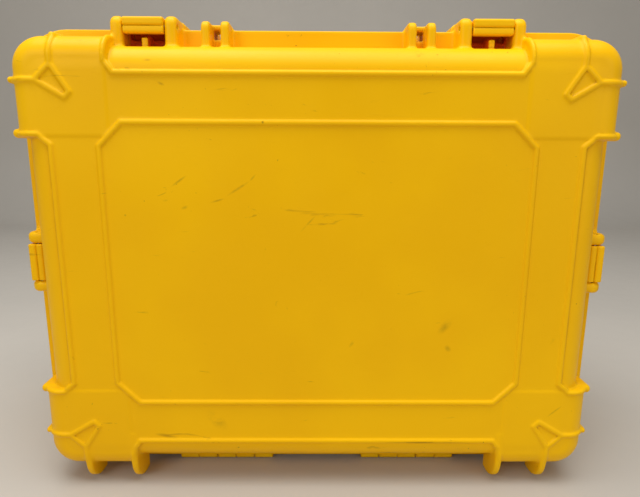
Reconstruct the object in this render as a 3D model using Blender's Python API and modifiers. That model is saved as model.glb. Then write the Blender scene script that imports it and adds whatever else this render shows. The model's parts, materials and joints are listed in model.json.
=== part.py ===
"""Hard transport case with a hinged lid, four press-to-release latches, a folding handle,
a pressure valve and fitted foam.

The case stands on the fins of its hinge side: +Z runs from the hinge to the handle, the lid
faces -Y and the base lies behind it. The origin is at the middle of the footprint, on the
plane that the fins stand on. Everything is in metres.
"""

import math

import bmesh
import bpy
from mathutils import Matrix, Vector

# ---------------------------------------------------------------- driving dimensions

MM = 0.001

CENTRE_Z = 251 * MM  # middle of the lid's face above the ground
HALF_W, HALF_H = 300 * MM, 230 * MM  # outer walls at the corner blocks
CORNER_R = 40 * MM
WALL = 4.5 * MM
RECESS = 7 * MM  # how far the panels between the corner blocks stand back
TOP_RECESS_HALF = 204 * MM  # half length of the recess in the top and bottom walls
SIDE_RECESS_HALF = 134 * MM  # half length of the recess in the side walls

LID_FACE_Y = -138 * MM
PARTING_Y = -83 * MM
BACK_Y = 138 * MM
SEAM = 0.3 * MM  # each half stays this far from the parting plane
PAST = 3 * MM  # shapes run this far past the parting plane before a half is trimmed
PAST_END = 40 * MM  # and the walls this far, to keep their rounded end out of the way
PAD = 2 * MM  # height of the ribs on the lid and of the pads on the back
RIB_W = 5 * MM

FLANGE_HALF_W, FLANGE_HALF_H = 311 * MM, 242 * MM
FLANGE_R = 46 * MM
FLANGE_T = 9 * MM
LID_EDGE_R, BACK_EDGE_R = 16 * MM, 20 * MM

GASKET_HALF_W, GASKET_HALF_H, GASKET_R = 296 * MM, 228 * MM, 36 * MM
GASKET_W, GASKET_T = 4.2 * MM, 3.6 * MM
GAP = 0.3 * MM  # clearance between pieces that touch

FIN_T = 7 * MM
FIN_R = 30 * MM  # the standing fins' outer corner
FIN_X = (204 * MM, 255 * MM)
TOP_FIN_X = 256.5 * MM
SIDE_FIN_Z = (137 * MM, 188 * MM)
SIDE_FIN_REACH = 305 * MM
TOP_FIN_REACH = 235 * MM
FIN_HINGE_GAP = 15 * MM  # keeps the lid's fins clear of the base as the lid swings

HINGE_Z = 6.5 * MM
KNUCKLE_R = 6 * MM
KNUCKLE_L = 22 * MM
KNUCKLE_GAP = 0.6 * MM
KNUCKLES = 5  # in each hinge: the base has the odd ones, the lid the even ones
HINGE_X = 110 * MM
HINGE_PIN_R = 2.2 * MM

LATCH_X = 173 * MM
SIDE_LATCH_Z = 253 * MM
SIDE_SEAT_X = 301.5 * MM  # the flange is lowered to here under the side latches
EAR_TOP = 9.5 * MM  # ears and guards above the latch seat
EAR_IN, EAR_OUT = 20.5 * MM, 33 * MM  # from the latch's middle
EAR_FRONT = -31 * MM  # from the parting plane
GUARD_REACH, SIDE_GUARD_REACH = 42 * MM, 25 * MM
SIDE_GUARD_IN = 23 * MM  # wider than the ears, because the lid's swing lifts the side latches

LEVER_HALF = 19.8 * MM
LEVER_PIVOT = (-25 * MM, -1 * MM)  # along Y from the parting plane, out from the seat
LEVER_BARREL_R = 6.2 * MM
LEVER_END = 38 * MM
LEVER_LOW, LEVER_ROOF, LEVER_TOP = 1.2 * MM, 6.4 * MM, 8 * MM
LEVER_PIN_R, LEVER_PIN_HALF = 2 * MM, 30 * MM
TRIGGER_PIVOT = (20 * MM, 3.8 * MM)
TRIGGER_HALF = 11.3 * MM
TRIGGER_NOSE, TRIGGER_WINDOW = 10.2 * MM, 23 * MM
TRIGGER_PIN_R = 1.1 * MM

LUG_X = 102.5 * MM  # padlock lugs
LUG_HALF, LUG_RIB = 13.8 * MM, 8.4 * MM
LUG_TOP = 247 * MM
LUG_FRONT, LUG_BACK = -31 * MM, 33 * MM
LOCK_HOLE_LOW, LOCK_HOLE_HIGH = 232 * MM, 241.5 * MM

HANDLE_LUG_IN, HANDLE_LUG_OUT = 76 * MM, 84 * MM
HANDLE_ARM_IN, HANDLE_ARM_OUT = 66 * MM, 75.5 * MM
HANDLE_PIVOT = (-65 * MM, 489 * MM)  # Y, Z
HANDLE_GRIP_Y = -23 * MM
HANDLE_BAR_W, HANDLE_BAR_T = 11 * MM, 12 * MM
GRIP_HALF, GRIP_W, GRIP_T = 52 * MM, 24 * MM, 20 * MM
HANDLE_PIN_R = 3 * MM

VALVE_Y = 50 * MM
VALVE_R, VALVE_STEM_R = 13 * MM, 6 * MM

FOAM_GAP = 2.5 * MM
FLOOR_PAD_FRONT = 92 * MM
RECEIVER_POCKET = (-150 * MM, 0.0, 102 * MM)  # X, height over the middle, radius
POCKETS = (
    # X, height over the middle, half width, half height
    (48 * MM, 118 * MM, 62 * MM, 72 * MM),
    (196 * MM, 118 * MM, 62 * MM, 72 * MM),
    (122 * MM, -45 * MM, 136 * MM, 52 * MM),
    (122 * MM, -160 * MM, 136 * MM, 28 * MM),
)

TOP_WALL = HALF_H - RECESS  # recessed walls, from the middle of the face
SIDE_WALL = HALF_W - RECESS
CAVITY_HALF_W, CAVITY_HALF_H = SIDE_WALL - WALL, TOP_WALL - WALL
CAVITY_R = CORNER_R - 8 * MM

YELLOW = (0.83, 0.47, 0.002)

# ---------------------------------------------------------------- scene and helpers

for old in list(bpy.data.objects):
    bpy.data.objects.remove(old)

case = bpy.data.collections.new("transport_case")
helpers = bpy.data.collections.new("cutters")
bpy.context.scene.collection.children.link(case)
bpy.context.scene.collection.children.link(helpers)


def material(name, colour, roughness, metallic=0.0):
    made = bpy.data.materials.new(name)
    made.use_nodes = True
    shader = made.node_tree.nodes["Principled BSDF"]
    shader.inputs["Base Color"].default_value = (*colour, 1)
    shader.inputs["Roughness"].default_value = roughness
    shader.inputs["Metallic"].default_value = metallic
    return made


SHELL = material("case_plastic", YELLOW, 0.42)
LEVER = material("latch_plastic", YELLOW, 0.36)
STEEL = material("steel", (0.62, 0.62, 0.60), 0.3, 1.0)
RUBBER = material("black_rubber", (0.02, 0.02, 0.02), 0.7)
DARK = material("dark_plastic", (0.03, 0.03, 0.03), 0.5)
FOAM = material("grey_foam", (0.06, 0.06, 0.065), 0.95)


def helper(obj):
    """Hides a cutter or a shape that is joined into another."""
    for owner in list(obj.users_collection):
        owner.objects.unlink(obj)
    helpers.objects.link(obj)
    obj.hide_render = True
    obj.display_type = "WIRE"
    return obj


def piece(obj, name, finish):
    """Makes an object one of the case's named pieces."""
    for owner in list(obj.users_collection):
        owner.objects.unlink(obj)
    case.objects.link(obj)
    obj.hide_render = False
    obj.display_type = "TEXTURED"
    obj.name = name
    obj.data.name = name
    obj.data.materials.clear()
    obj.data.materials.append(finish)
    return obj


def from_bmesh(bm):
    mesh = bpy.data.meshes.new("shape")
    bm.to_mesh(mesh)
    bm.free()
    return helper(bpy.data.objects.new("shape", mesh))


def box(x, y, z):
    """A block between the (low, high) pairs x, y and z."""
    bm = bmesh.new()
    bmesh.ops.create_cube(bm, size=1)
    size = [high - low for low, high in (x, y, z)]
    middle = [(high + low) / 2 for low, high in (x, y, z)]
    bmesh.ops.scale(bm, vec=size, verts=bm.verts)
    bmesh.ops.translate(bm, vec=middle, verts=bm.verts)
    return from_bmesh(bm)


def rod(start, end, radius, sides=16):
    """A round bar from start to end."""
    start, end = Vector(start), Vector(end)
    turn = (end - start).to_track_quat("Z", "Y").to_matrix().to_4x4()
    place = Matrix.Translation((start + end) / 2) @ turn
    bm = bmesh.new()
    bmesh.ops.create_cone(
        bm,
        cap_ends=True,
        segments=sides,
        radius1=radius,
        radius2=radius,
        depth=(end - start).length,
        matrix=place,
    )
    return from_bmesh(bm)


def as_mesh(curve):
    """The curve as a closed mesh object, with its caps welded and its place applied."""
    obj = bpy.data.objects.new("curve", curve)
    bpy.context.scene.collection.objects.link(obj)
    graph = bpy.context.evaluated_depsgraph_get()
    mesh = bpy.data.meshes.new_from_object(obj.evaluated_get(graph))
    bpy.data.objects.remove(obj)
    bm = bmesh.new()
    bm.from_mesh(mesh)
    bmesh.ops.remove_doubles(bm, verts=bm.verts, dist=1e-6)
    bmesh.ops.recalc_face_normals(bm, faces=bm.faces)
    bpy.data.meshes.remove(mesh)
    return from_bmesh(bm)


def slab(outline, low, high, plane="XZ", hole=()):
    """A flat outline, with a hole if one is given, made thick: XZ runs along Y and YZ along X."""
    curve = bpy.data.curves.new("outline", "CURVE")
    curve.dimensions = "2D"
    curve.fill_mode = "BOTH"
    curve.extrude = (high - low) / 2
    for points in filter(None, (outline, hole)):
        spline = curve.splines.new("POLY")
        spline.points.add(len(points) - 1)
        for point, (a, b) in zip(spline.points, points):
            point.co = (a, b, 0, 1)
        spline.use_cyclic_u = True
    obj = as_mesh(curve)
    middle = (low + high) / 2
    if plane == "XZ":
        axes = ((1, 0, 0), (0, 0, 1), (0, -1, 0))
        place = Vector((0, middle, 0))
    else:
        axes = ((0, 1, 0), (0, 0, 1), (1, 0, 0))
        place = Vector((middle, 0, 0))
    turn = Matrix(axes).transposed().to_4x4()
    obj.data.transform(Matrix.Translation(place) @ turn)
    return obj


def rounded(half_w, half_h, radius, middle=(0, CENTRE_Z), steps=6):
    """The outline of a rectangle with round corners."""
    points = []
    for corner, (sx, sz) in enumerate(((1, 1), (-1, 1), (-1, -1), (1, -1))):
        for step in range(steps + 1):
            angle = math.radians(90 * corner + 90 * step / steps)
            points.append(
                (
                    middle[0] + sx * (half_w - radius) + radius * math.cos(angle),
                    middle[1] + sz * (half_h - radius) + radius * math.sin(angle),
                )
            )
    return points


def arc(centre, radius, first, last, steps):
    """Points along a circle, from the angle first to last, in degrees."""
    angles = [math.radians(first + (last - first) * i / steps) for i in range(steps + 1)]
    return [(centre[0] + radius * math.cos(a), centre[1] + radius * math.sin(a)) for a in angles]


def offset(points, distance, closed):
    """The points moved sideways, to the left of the way they run, with mitred corners."""
    moved = []
    last = len(points) - 1
    for i, point in enumerate(points):
        here = Vector(point)
        before = here - Vector(points[i - 1]) if i or closed else None
        after = Vector(points[(i + 1) % len(points)]) - here if i < last or closed else None
        sides = [Vector((-way.y, way.x)).normalized() for way in (before, after) if way]
        side = sum(sides, Vector((0, 0))).normalized()
        moved.append(tuple(here + side * (distance / side.dot(sides[0]))))
    return moved


def rib(points, closed=True):
    """A rib that follows points on the lid's face, given from the middle of the face."""
    points = [(x, CENTRE_Z + z) for x, z in points]
    left = offset(points, RIB_W / 2, closed)
    right = offset(points, -RIB_W / 2, closed)
    low, high = LID_FACE_Y - PAD, LID_FACE_Y + 7 * MM
    if closed:
        return slab(left, low, high, hole=right)
    return slab(left + right[::-1], low, high)


def together(shapes):
    """Joins shapes that don't touch each other into one helper mesh."""
    bm = bmesh.new()
    for shape in shapes:
        bm.from_mesh(shape.data)
        bpy.data.objects.remove(shape)
    return from_bmesh(bm)


def mirrored(shape):
    """The shape's mirror image across the YZ plane."""
    bm = bmesh.new()
    bm.from_mesh(shape.data)
    bmesh.ops.scale(bm, vec=(-1, 1, 1), verts=bm.verts)
    bmesh.ops.reverse_faces(bm, faces=bm.faces)
    return from_bmesh(bm)


def both_sides(shapes):
    shapes = list(shapes)
    return together(shapes + [mirrored(shape) for shape in shapes])


def combine(target, operation, *shapes):
    for shape in shapes:
        step = target.modifiers.new(operation.lower(), "BOOLEAN")
        step.operation = operation
        step.object = shape
    return target


def add(target, *shapes):
    return combine(target, "UNION", *shapes)


def cut(target, *shapes):
    return combine(target, "DIFFERENCE", *shapes)


def bevel(target, width, segments=3, angle=50):
    step = target.modifiers.new("round edges", "BEVEL")
    step.width = width
    step.segments = segments
    step.limit_method = "ANGLE"
    step.angle_limit = math.radians(angle)
    return target


# ---------------------------------------------------------------- latch places

# Each latch is built in its own frame: X across it, Y into the base, Z out of the wall.
# name, place of the seat on the parting plane, turn about Y that points +Z outwards
LATCHES = (
    ("front_left", Vector((-LATCH_X, PARTING_Y, CENTRE_Z + FLANGE_HALF_H)), 0),
    ("front_right", Vector((LATCH_X, PARTING_Y, CENTRE_Z + FLANGE_HALF_H)), 0),
    ("side_left", Vector((-SIDE_SEAT_X, PARTING_Y, SIDE_LATCH_Z)), -90),
    ("side_right", Vector((SIDE_SEAT_X, PARTING_Y, SIDE_LATCH_Z)), 90),
)


def latch_frame(latch):
    return Matrix.Translation(latch[1]) @ Matrix.Rotation(math.radians(latch[2]), 4, "Y")


def to_latch(shape, latch):
    """Moves a shape from a latch's own frame to its place on the case."""
    shape.data.transform(latch_frame(latch))
    return shape


def wall_depth(latch):
    """How far the recessed wall lies under a latch's seat, with a little more to join it."""
    if latch[2]:
        return SIDE_SEAT_X - SIDE_WALL + 2 * MM
    return FLANGE_HALF_H - TOP_WALL + 2 * MM


# ---------------------------------------------------------------- shells


def recess_profile(wall, edge, end, far):
    """Cutter section of an edge panel: edge is the face's Y, end and far lie past the shell."""
    sign = 1 if end > edge else -1
    return (
        (edge - sign * 2 * MM, wall - 29 * MM),
        (edge + sign * 1 * MM, wall - 24 * MM),
        (edge + sign * 7 * MM, wall - 9 * MM),
        (edge + sign * 16 * MM, wall),
        (end, wall),
        (end, far),
        (edge - sign * 2 * MM, far),
    )


def recess_cutters(edge, end):
    """The four edge panels between the corner blocks."""
    cutters = []
    for half_length, wall, quarter in (
        (TOP_RECESS_HALF, TOP_WALL, 0),
        (SIDE_RECESS_HALF, SIDE_WALL, 1),
        (TOP_RECESS_HALF, TOP_WALL, 2),
        (SIDE_RECESS_HALF, SIDE_WALL, 3),
    ):
        profile = recess_profile(wall, edge, end, wall + 20 * MM)
        cutter = slab(profile, -half_length, half_length, "YZ")
        turn = Matrix.Rotation(math.radians(90 * quarter), 4, "Y")
        cutter.data.transform(Matrix.Translation((0, 0, CENTRE_Z)) @ turn)
        cutters.append(cutter)
    return cutters


def shell(face, parting, edge_r):
    """A solid half that runs on past the parting plane, where it is trimmed once it is complete."""
    sign = 1 if parting > face else -1
    past = parting + sign * PAST_END
    low, high = sorted((face, past))
    body = slab(rounded(HALF_W, HALF_H, CORNER_R), low, high)
    bevel(body, edge_r)
    return cut(body, *recess_cutters(face, past + sign * 10 * MM))


def trim(body, away):
    """Cuts a half off at its side of the parting plane."""
    start = PARTING_Y + away * SEAM
    return cut(body, box((-0.4, 0.4), sorted((start, start - away * 90 * MM)), (-0.1, 0.6)))


def flange(away):
    low, high = sorted((PARTING_Y - away * PAST, PARTING_Y + away * FLANGE_T))
    return slab(rounded(FLANGE_HALF_W, FLANGE_HALF_H, FLANGE_R), low, high)


def cavity(face, parting, edge_r):
    sign = 1 if parting > face else -1
    low, high = sorted((face + sign * WALL, parting + sign * 60 * MM))
    return bevel(slab(rounded(CAVITY_HALF_W, CAVITY_HALF_H, CAVITY_R), low, high), edge_r)


def lid_ear(side, latch):
    """One of the two ears that hold a latch's pin; its front corner is rounded."""
    depth = wall_depth(latch)
    radius = 9 * MM
    outline = [(PAST, -depth), (PAST, EAR_TOP)]
    outline += arc((EAR_FRONT + radius, EAR_TOP - radius), radius, 90, 180, 5)
    outline += [(EAR_FRONT, -depth + 4 * MM), (EAR_FRONT + 4 * MM, -depth)]
    low, high = sorted((side * EAR_IN, side * EAR_OUT))
    return to_latch(slab(outline, low, high, "YZ"), latch)


def base_guard(side, latch):
    """The base's guard beside a latch, in line with the lid's ear."""
    depth = wall_depth(latch)
    reach = SIDE_GUARD_REACH if latch[2] else GUARD_REACH
    inner = SIDE_GUARD_IN if latch[2] else EAR_IN
    outline = (
        (-PAST, -depth),
        (reach, -depth),
        (reach, -6 * MM),
        (reach - 10 * MM, EAR_TOP),
        (-PAST, EAR_TOP),
    )
    low, high = sorted((side * inner, side * (EAR_OUT + 1 * MM)))
    return to_latch(slab(outline, low, high, "YZ"), latch)


def side_notch(latch, half, low, high):
    """Lowers the flange to a side latch's seat."""
    return to_latch(box((-half, half), (low, high), (0, 30 * MM)), latch)


def padlock_lug(far):
    """Two ribs and the wall between them; far is how deep the ribs run from the parting plane."""
    bottom = CENTRE_Z + TOP_WALL - 2 * MM
    top = CENTRE_Z + LUG_TOP
    away = 1 if far > 0 else -1
    near = -away * PAST
    slope = (
        (PARTING_Y + near, bottom),
        (PARTING_Y + near, top),
        (PARTING_Y + far - away * 8 * MM, top),
        (PARTING_Y + far, top - 12 * MM),
        (PARTING_Y + far, bottom),
    )
    inner = LUG_X - LUG_HALF
    outer = LUG_X + LUG_HALF
    ribs = together(
        [
            slab(slope, inner, inner + LUG_RIB, "YZ"),
            slab(slope, outer - LUG_RIB, outer, "YZ"),
        ]
    )
    bridge = box(
        (inner + 2 * MM, outer - 2 * MM),
        sorted((PARTING_Y + near, PARTING_Y + away * (FLANGE_T - 0.6 * MM))),
        (bottom, top - 0.5 * MM),
    )
    return [ribs, mirrored(ribs), bridge, mirrored(bridge)]


def padlock_holes():
    """Square holes through both halves' lugs, for a padlock's shackle."""
    inner, outer = LUG_X - LUG_HALF + LUG_RIB, LUG_X + LUG_HALF - LUG_RIB
    hole = box(
        (inner + 0.6 * MM, outer - 0.6 * MM),
        (PARTING_Y - 30 * MM, PARTING_Y + 30 * MM),
        (CENTRE_Z + LOCK_HOLE_LOW, CENTRE_Z + LOCK_HOLE_HIGH),
    )
    return both_sides([hole])


def knuckle_span(index, hinge):
    """The X range of a knuckle, counted from the hinge's left end."""
    pitch = KNUCKLE_L + KNUCKLE_GAP
    middle = hinge * HINGE_X + (index - (KNUCKLES - 1) / 2) * pitch
    return middle - KNUCKLE_L / 2, middle + KNUCKLE_L / 2


def knuckles(indexes, away):
    """Hinge knuckles, each with the web that joins it to its own half's flange just above."""
    web_low, web_high = away * 0.8 * MM, away * (FLANGE_T - 0.6 * MM)
    first, last = (95, 350) if away > 0 else (85, -170)
    outline = [(PARTING_Y + web_high, 14 * MM), (PARTING_Y + web_low, 14 * MM)]
    outline += arc((PARTING_Y, HINGE_Z), KNUCKLE_R, first, last, 14)
    outline += [(PARTING_Y + web_high, 10.2 * MM)]
    shapes = []
    for hinge in (-1, 1):
        for index in indexes:
            shapes.append(slab(outline, *knuckle_span(index, hinge), "YZ"))
    return together(shapes)


def knuckle_reliefs(indexes):
    """Room in one half for the other half's knuckles to turn."""
    shapes = []
    side = KNUCKLE_GAP * 0.7
    for hinge in (-1, 1):
        for index in indexes:
            low, high = knuckle_span(index, hinge)
            start, end = (low - side, PARTING_Y, HINGE_Z), (high + side, PARTING_Y, HINGE_Z)
            shapes.append(rod(start, end, KNUCKLE_R + KNUCKLE_GAP, 20))
    return together(shapes)


def hinge_bores():
    reach = KNUCKLES * (KNUCKLE_L + KNUCKLE_GAP) / 2 + 2 * MM
    bores = []
    for hinge in (-1, 1):
        start = (hinge * HINGE_X - reach, PARTING_Y, HINGE_Z)
        end = (hinge * HINGE_X + reach, PARTING_Y, HINGE_Z)
        bores.append(rod(start, end, HINGE_PIN_R + GAP))
    return together(bores)


BASE_KNUCKLES = range(0, KNUCKLES, 2)
LID_KNUCKLES = range(1, KNUCKLES, 2)


def edge_fins(start, end):
    """The low fins across the top and side walls, from Y start to end, on the +X half."""
    low, high = TOP_FIN_X - FIN_T / 2, TOP_FIN_X + FIN_T / 2
    top = (CENTRE_Z + TOP_WALL - 1 * MM, CENTRE_Z + TOP_FIN_REACH)
    fins = [box((low, high), (start, end), top)]
    for height in SIDE_FIN_Z:
        for z in (CENTRE_Z - height, CENTRE_Z + height):
            reach = (SIDE_WALL - 3 * MM, SIDE_FIN_REACH)
            fins.append(box(reach, (start, end), (z - FIN_T / 2, z + FIN_T / 2)))
    return fins


def standing_fins(outline):
    return [slab(outline, x - FIN_T / 2, x + FIN_T / 2, "YZ") for x in FIN_X]


def lid_fins():
    """The standing fins under the lid, with a round front, and its edge fins."""
    front = LID_FACE_Y - 1 * MM
    back = PARTING_Y - FIN_HINGE_GAP
    outline = arc((front + FIN_R, FIN_R), FIN_R, 180, 270, 5)
    outline += [(back, 0), (back, 34 * MM), (front + 4 * MM, 48 * MM), (front, 44 * MM)]
    edges = edge_fins(LID_FACE_Y + 9 * MM, PARTING_Y - FLANGE_T + 1 * MM)
    return both_sides(standing_fins(outline) + edges)


def base_fins():
    """The standing fins under the base, with a round back, and its edge fins."""
    front, back = PARTING_Y + 13 * MM, BACK_Y - 2 * MM
    outline = [(front, 34 * MM), (front, 0)]
    outline += arc((back - FIN_R, FIN_R), FIN_R, 270, 360, 5)
    outline += [(back - 10 * MM, 40 * MM)]
    edges = edge_fins(PARTING_Y + FLANGE_T - 1 * MM, BACK_Y - 14 * MM)
    return both_sides(standing_fins(outline) + edges)


def face_ribs():
    """The raised rib outline of the middle panel, the corner triangles and the edge trims."""
    half_x, half_z, chamfer = 215 * MM, 148 * MM, 23 * MM
    panel = []
    for sx, sz in ((1, 1), (-1, 1), (-1, -1), (1, -1)):
        corner = [(sx * half_x, sz * (half_z - chamfer)), (sx * (half_x - chamfer), sz * half_z)]
        panel += corner if sx * sz > 0 else corner[::-1]
    ribs = [rib(panel)]
    for sx in (-1, 1):
        for sz in (-1, 1):
            triangle = ((255.5, 202), (271, 187), (244, 171), (239, 176))
            ribs.append(rib([(sx * x * MM, sz * z * MM) for x, z in triangle]))
    for sz in (-1, 1):
        trim = ((-204, 205), (-196.5, 194), (196.5, 194), (204, 205))
        ribs.append(rib([(x * MM, sz * z * MM) for x, z in trim], closed=False))
    for sx in (-1, 1):
        trim = ((274, -136), (262, -126), (262, 126), (274, 136))
        ribs.append(rib([(sx * x * MM, z * MM) for x, z in trim], closed=False))
    return together(ribs)


def seal_ring(room, high):
    """A ring along the gasket's path, wider than the gasket by room all round, up to Y high."""
    reach = GASKET_W / 2 + room
    low = PARTING_Y - SEAM - GASKET_T - room
    outer = rounded(GASKET_HALF_W + reach, GASKET_HALF_H + reach, GASKET_R + reach)
    inner = rounded(GASKET_HALF_W - reach, GASKET_HALF_H - reach, GASKET_R - reach)
    return cut(slab(outer, low, high), slab(inner, low - 5 * MM, high + 5 * MM))


def lid_shell():
    body = shell(LID_FACE_Y, PARTING_Y, LID_EDGE_R)
    add(body, flange(-1))
    ears = [lid_ear(side, latch) for latch in LATCHES for side in (-1, 1)]
    add(body, together(ears))
    supports = []
    for latch in LATCHES[:2]:
        low, high = -wall_depth(latch), LEVER_PIVOT[1] - LEVER_BARREL_R - 0.4 * MM
        support = box((-3 * MM, 3 * MM), (-26 * MM, -FLANGE_T + 1 * MM), (low, high))
        supports.append(to_latch(support, latch))
    add(body, together(supports))
    add(body, *padlock_lug(LUG_FRONT))
    add(body, lid_fins(), face_ribs())
    add(trim(body, -1), knuckles(LID_KNUCKLES, -1))
    cut(body, cavity(LID_FACE_Y, PARTING_Y, LID_EDGE_R - 3 * MM))
    cut(body, seal_ring(GAP, PARTING_Y + 5 * MM))
    for latch in LATCHES[2:]:
        cut(body, side_notch(latch, EAR_IN, -FLANGE_T - 1 * MM, 5 * MM))
    pins = []
    for latch in LATCHES:
        y, z = LEVER_PIVOT
        bore = rod((-0.04, y, z), (0.04, y, z), LEVER_PIN_R + GAP, 12)
        pins.append(to_latch(bore, latch))
    cut(body, together(pins), padlock_holes())
    cut(body, knuckle_reliefs(BASE_KNUCKLES), hinge_bores())
    return piece(body, "lid_shell", SHELL)


def handle_lugs():
    """The base's two lugs that the handle's arms swing beside."""
    y, z = HANDLE_PIVOT
    wall = CENTRE_Z + TOP_WALL - 2 * MM
    outline = [(PARTING_Y + SEAM + 2 * MM, wall), (y + 16 * MM, wall)]
    outline += arc((y, z), 8 * MM, 30, 150, 6)
    outline += [(PARTING_Y + SEAM + 2 * MM, z)]
    return both_sides([slab(outline, HANDLE_LUG_IN, HANDLE_LUG_OUT, "YZ")])


def handle_bores():
    y, z = HANDLE_PIVOT
    start, end = (HANDLE_ARM_IN - 5 * MM, y, z), (HANDLE_LUG_OUT - 2 * MM, y, z)
    return both_sides([rod(start, end, HANDLE_PIN_R + GAP)])


def back_pads():
    """Four low pads that the case lies on."""
    pads = []
    for sz in (-1, 1):
        z = CENTRE_Z + sz * 165 * MM
        outline = rounded(34 * MM, 22 * MM, 10 * MM, (215 * MM, z), 4)
        pads.append(slab(outline, BACK_Y - 1 * MM, BACK_Y + PAD))
    return both_sides(pads)


def base_shell():
    body = shell(BACK_Y, PARTING_Y, BACK_EDGE_R)
    add(body, flange(1))
    guards = [base_guard(side, latch) for latch in LATCHES for side in (-1, 1)]
    add(body, together(guards))
    add(body, *padlock_lug(LUG_BACK))
    add(body, handle_lugs(), back_pads(), base_fins())
    add(trim(body, 1), knuckles(BASE_KNUCKLES, 1))
    cut(body, cavity(BACK_Y, PARTING_Y, BACK_EDGE_R - 3 * MM))
    for latch in LATCHES[2:]:
        cut(body, side_notch(latch, SIDE_GUARD_IN, -5 * MM, FLANGE_T + 1 * MM))
    cut(body, handle_bores(), padlock_holes())
    cut(body, knuckle_reliefs(LID_KNUCKLES), hinge_bores())
    wall = CENTRE_Z + CAVITY_HALF_H
    cut(body, rod((0, VALVE_Y, wall - 5 * MM), (0, VALVE_Y, wall + 10 * MM), VALVE_STEM_R + GAP))
    return piece(body, "base_shell", SHELL)


def gasket():
    """The seal that lies in the lid's groove, all round the opening."""
    return piece(seal_ring(0, PARTING_Y - SEAM), "gasket", RUBBER)


def hinge_pins():
    reach = KNUCKLES * (KNUCKLE_L + KNUCKLE_GAP) / 2 - 1 * MM
    for hinge, side in ((-1, "left"), (1, "right")):
        start = (hinge * HINGE_X - reach, PARTING_Y, HINGE_Z)
        end = (hinge * HINGE_X + reach, PARTING_Y, HINGE_Z)
        piece(rod(start, end, HINGE_PIN_R, 12), "hinge_pin_" + side, STEEL)


# ---------------------------------------------------------------- latches


def to_applied(body, latch):
    """Bakes the modifiers, then moves the mesh from the latch's frame to its place."""
    graph = bpy.context.evaluated_depsgraph_get()
    mesh = bpy.data.meshes.new_from_object(body.evaluated_get(graph))
    body.modifiers.clear()
    body.data = mesh
    return to_latch(body, latch)


def lever(latch):
    """The latch's lever: a barrel on its pin and a plate that reaches over both flanges."""
    y, z = LEVER_PIVOT
    plate = (
        (y, LEVER_LOW),
        (LEVER_END - 4 * MM, LEVER_LOW),
        (LEVER_END, LEVER_LOW + 2 * MM),
        (LEVER_END, LEVER_TOP + 1 * MM),
        (LEVER_END - 5 * MM, LEVER_TOP),
        (y + 12 * MM, LEVER_TOP),
        (y, z + LEVER_BARREL_R),
    )
    body = slab(plate, -LEVER_HALF, LEVER_HALF, "YZ")
    add(body, rod((-LEVER_HALF, y, z), (LEVER_HALF, y, z), LEVER_BARREL_R, 20))
    cut(body, rod((-0.03, y, z), (0.03, y, z), LEVER_PIN_R + GAP, 12))
    inside = TRIGGER_HALF + 0.5 * MM
    recess = box(
        (-inside, inside),
        (TRIGGER_NOSE - 1.2 * MM, LEVER_END + 5 * MM),
        (-2 * MM, LEVER_ROOF),
    )
    window = box((-inside, inside), (TRIGGER_WINDOW, LEVER_END + 6 * MM), (3 * MM, 0.02))
    cut(body, recess, window)
    y, z = TRIGGER_PIVOT
    cut(body, rod((-0.03, y, z), (0.03, y, z), TRIGGER_PIN_R + GAP, 12))
    return piece(to_applied(body, latch), "latch_lever_" + latch[0], LEVER)


def trigger(latch):
    """The press trigger: a catch nose under the lever's roof and a thumb pad in its window."""
    y, z = TRIGGER_PIVOT
    outline = [
        (TRIGGER_NOSE, 0.9 * MM),
        (LEVER_END - 2 * MM, 1.6 * MM),
        (LEVER_END - 1 * MM, 4 * MM),
        (LEVER_END - 2 * MM, 7.4 * MM),
        (TRIGGER_WINDOW + 0.8 * MM, 7.4 * MM),
        (TRIGGER_WINDOW + 0.4 * MM, 5.6 * MM),
    ]
    outline += arc((y, z), 1.9 * MM, 60, 150, 4)
    outline += [(y - 3 * MM, 3.4 * MM), (TRIGGER_NOSE, 3.4 * MM)]
    body = slab(outline, -TRIGGER_HALF, TRIGGER_HALF, "YZ")
    cut(body, rod((-0.03, y, z), (0.03, y, z), TRIGGER_PIN_R + GAP, 12))
    return piece(to_applied(body, latch), "latch_trigger_" + latch[0], LEVER)


def leaf_spring(latch):
    """A thin bowed strip between the trigger's nose and the lever's roof."""
    top = LEVER_ROOF - GAP
    thick = 0.4 * MM
    front, crown, back = TRIGGER_NOSE, TRIGGER_NOSE + 4 * MM, TRIGGER_PIVOT[0] - 2.6 * MM
    upper = [(front, top - 0.3 * MM), (crown, top), (back, top - 0.2 * MM)]
    outline = upper + [(y, z - thick) for y, z in reversed(upper)]
    strip = slab(outline, -5 * MM, 5 * MM, "YZ")
    return piece(to_latch(strip, latch), "trigger_spring_" + latch[0], STEEL)


def latch_pins(latch):
    y, z = LEVER_PIVOT
    pin = rod((-LEVER_PIN_HALF, y, z), (LEVER_PIN_HALF, y, z), LEVER_PIN_R, 12)
    piece(to_latch(pin, latch), "latch_pin_" + latch[0], STEEL)
    y, z = TRIGGER_PIVOT
    half = LEVER_HALF - 0.6 * MM
    pin = rod((-half, y, z), (half, y, z), TRIGGER_PIN_R, 10)
    piece(to_latch(pin, latch), "trigger_pin_" + latch[0], STEEL)


# ---------------------------------------------------------------- handle, valve, foam


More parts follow.
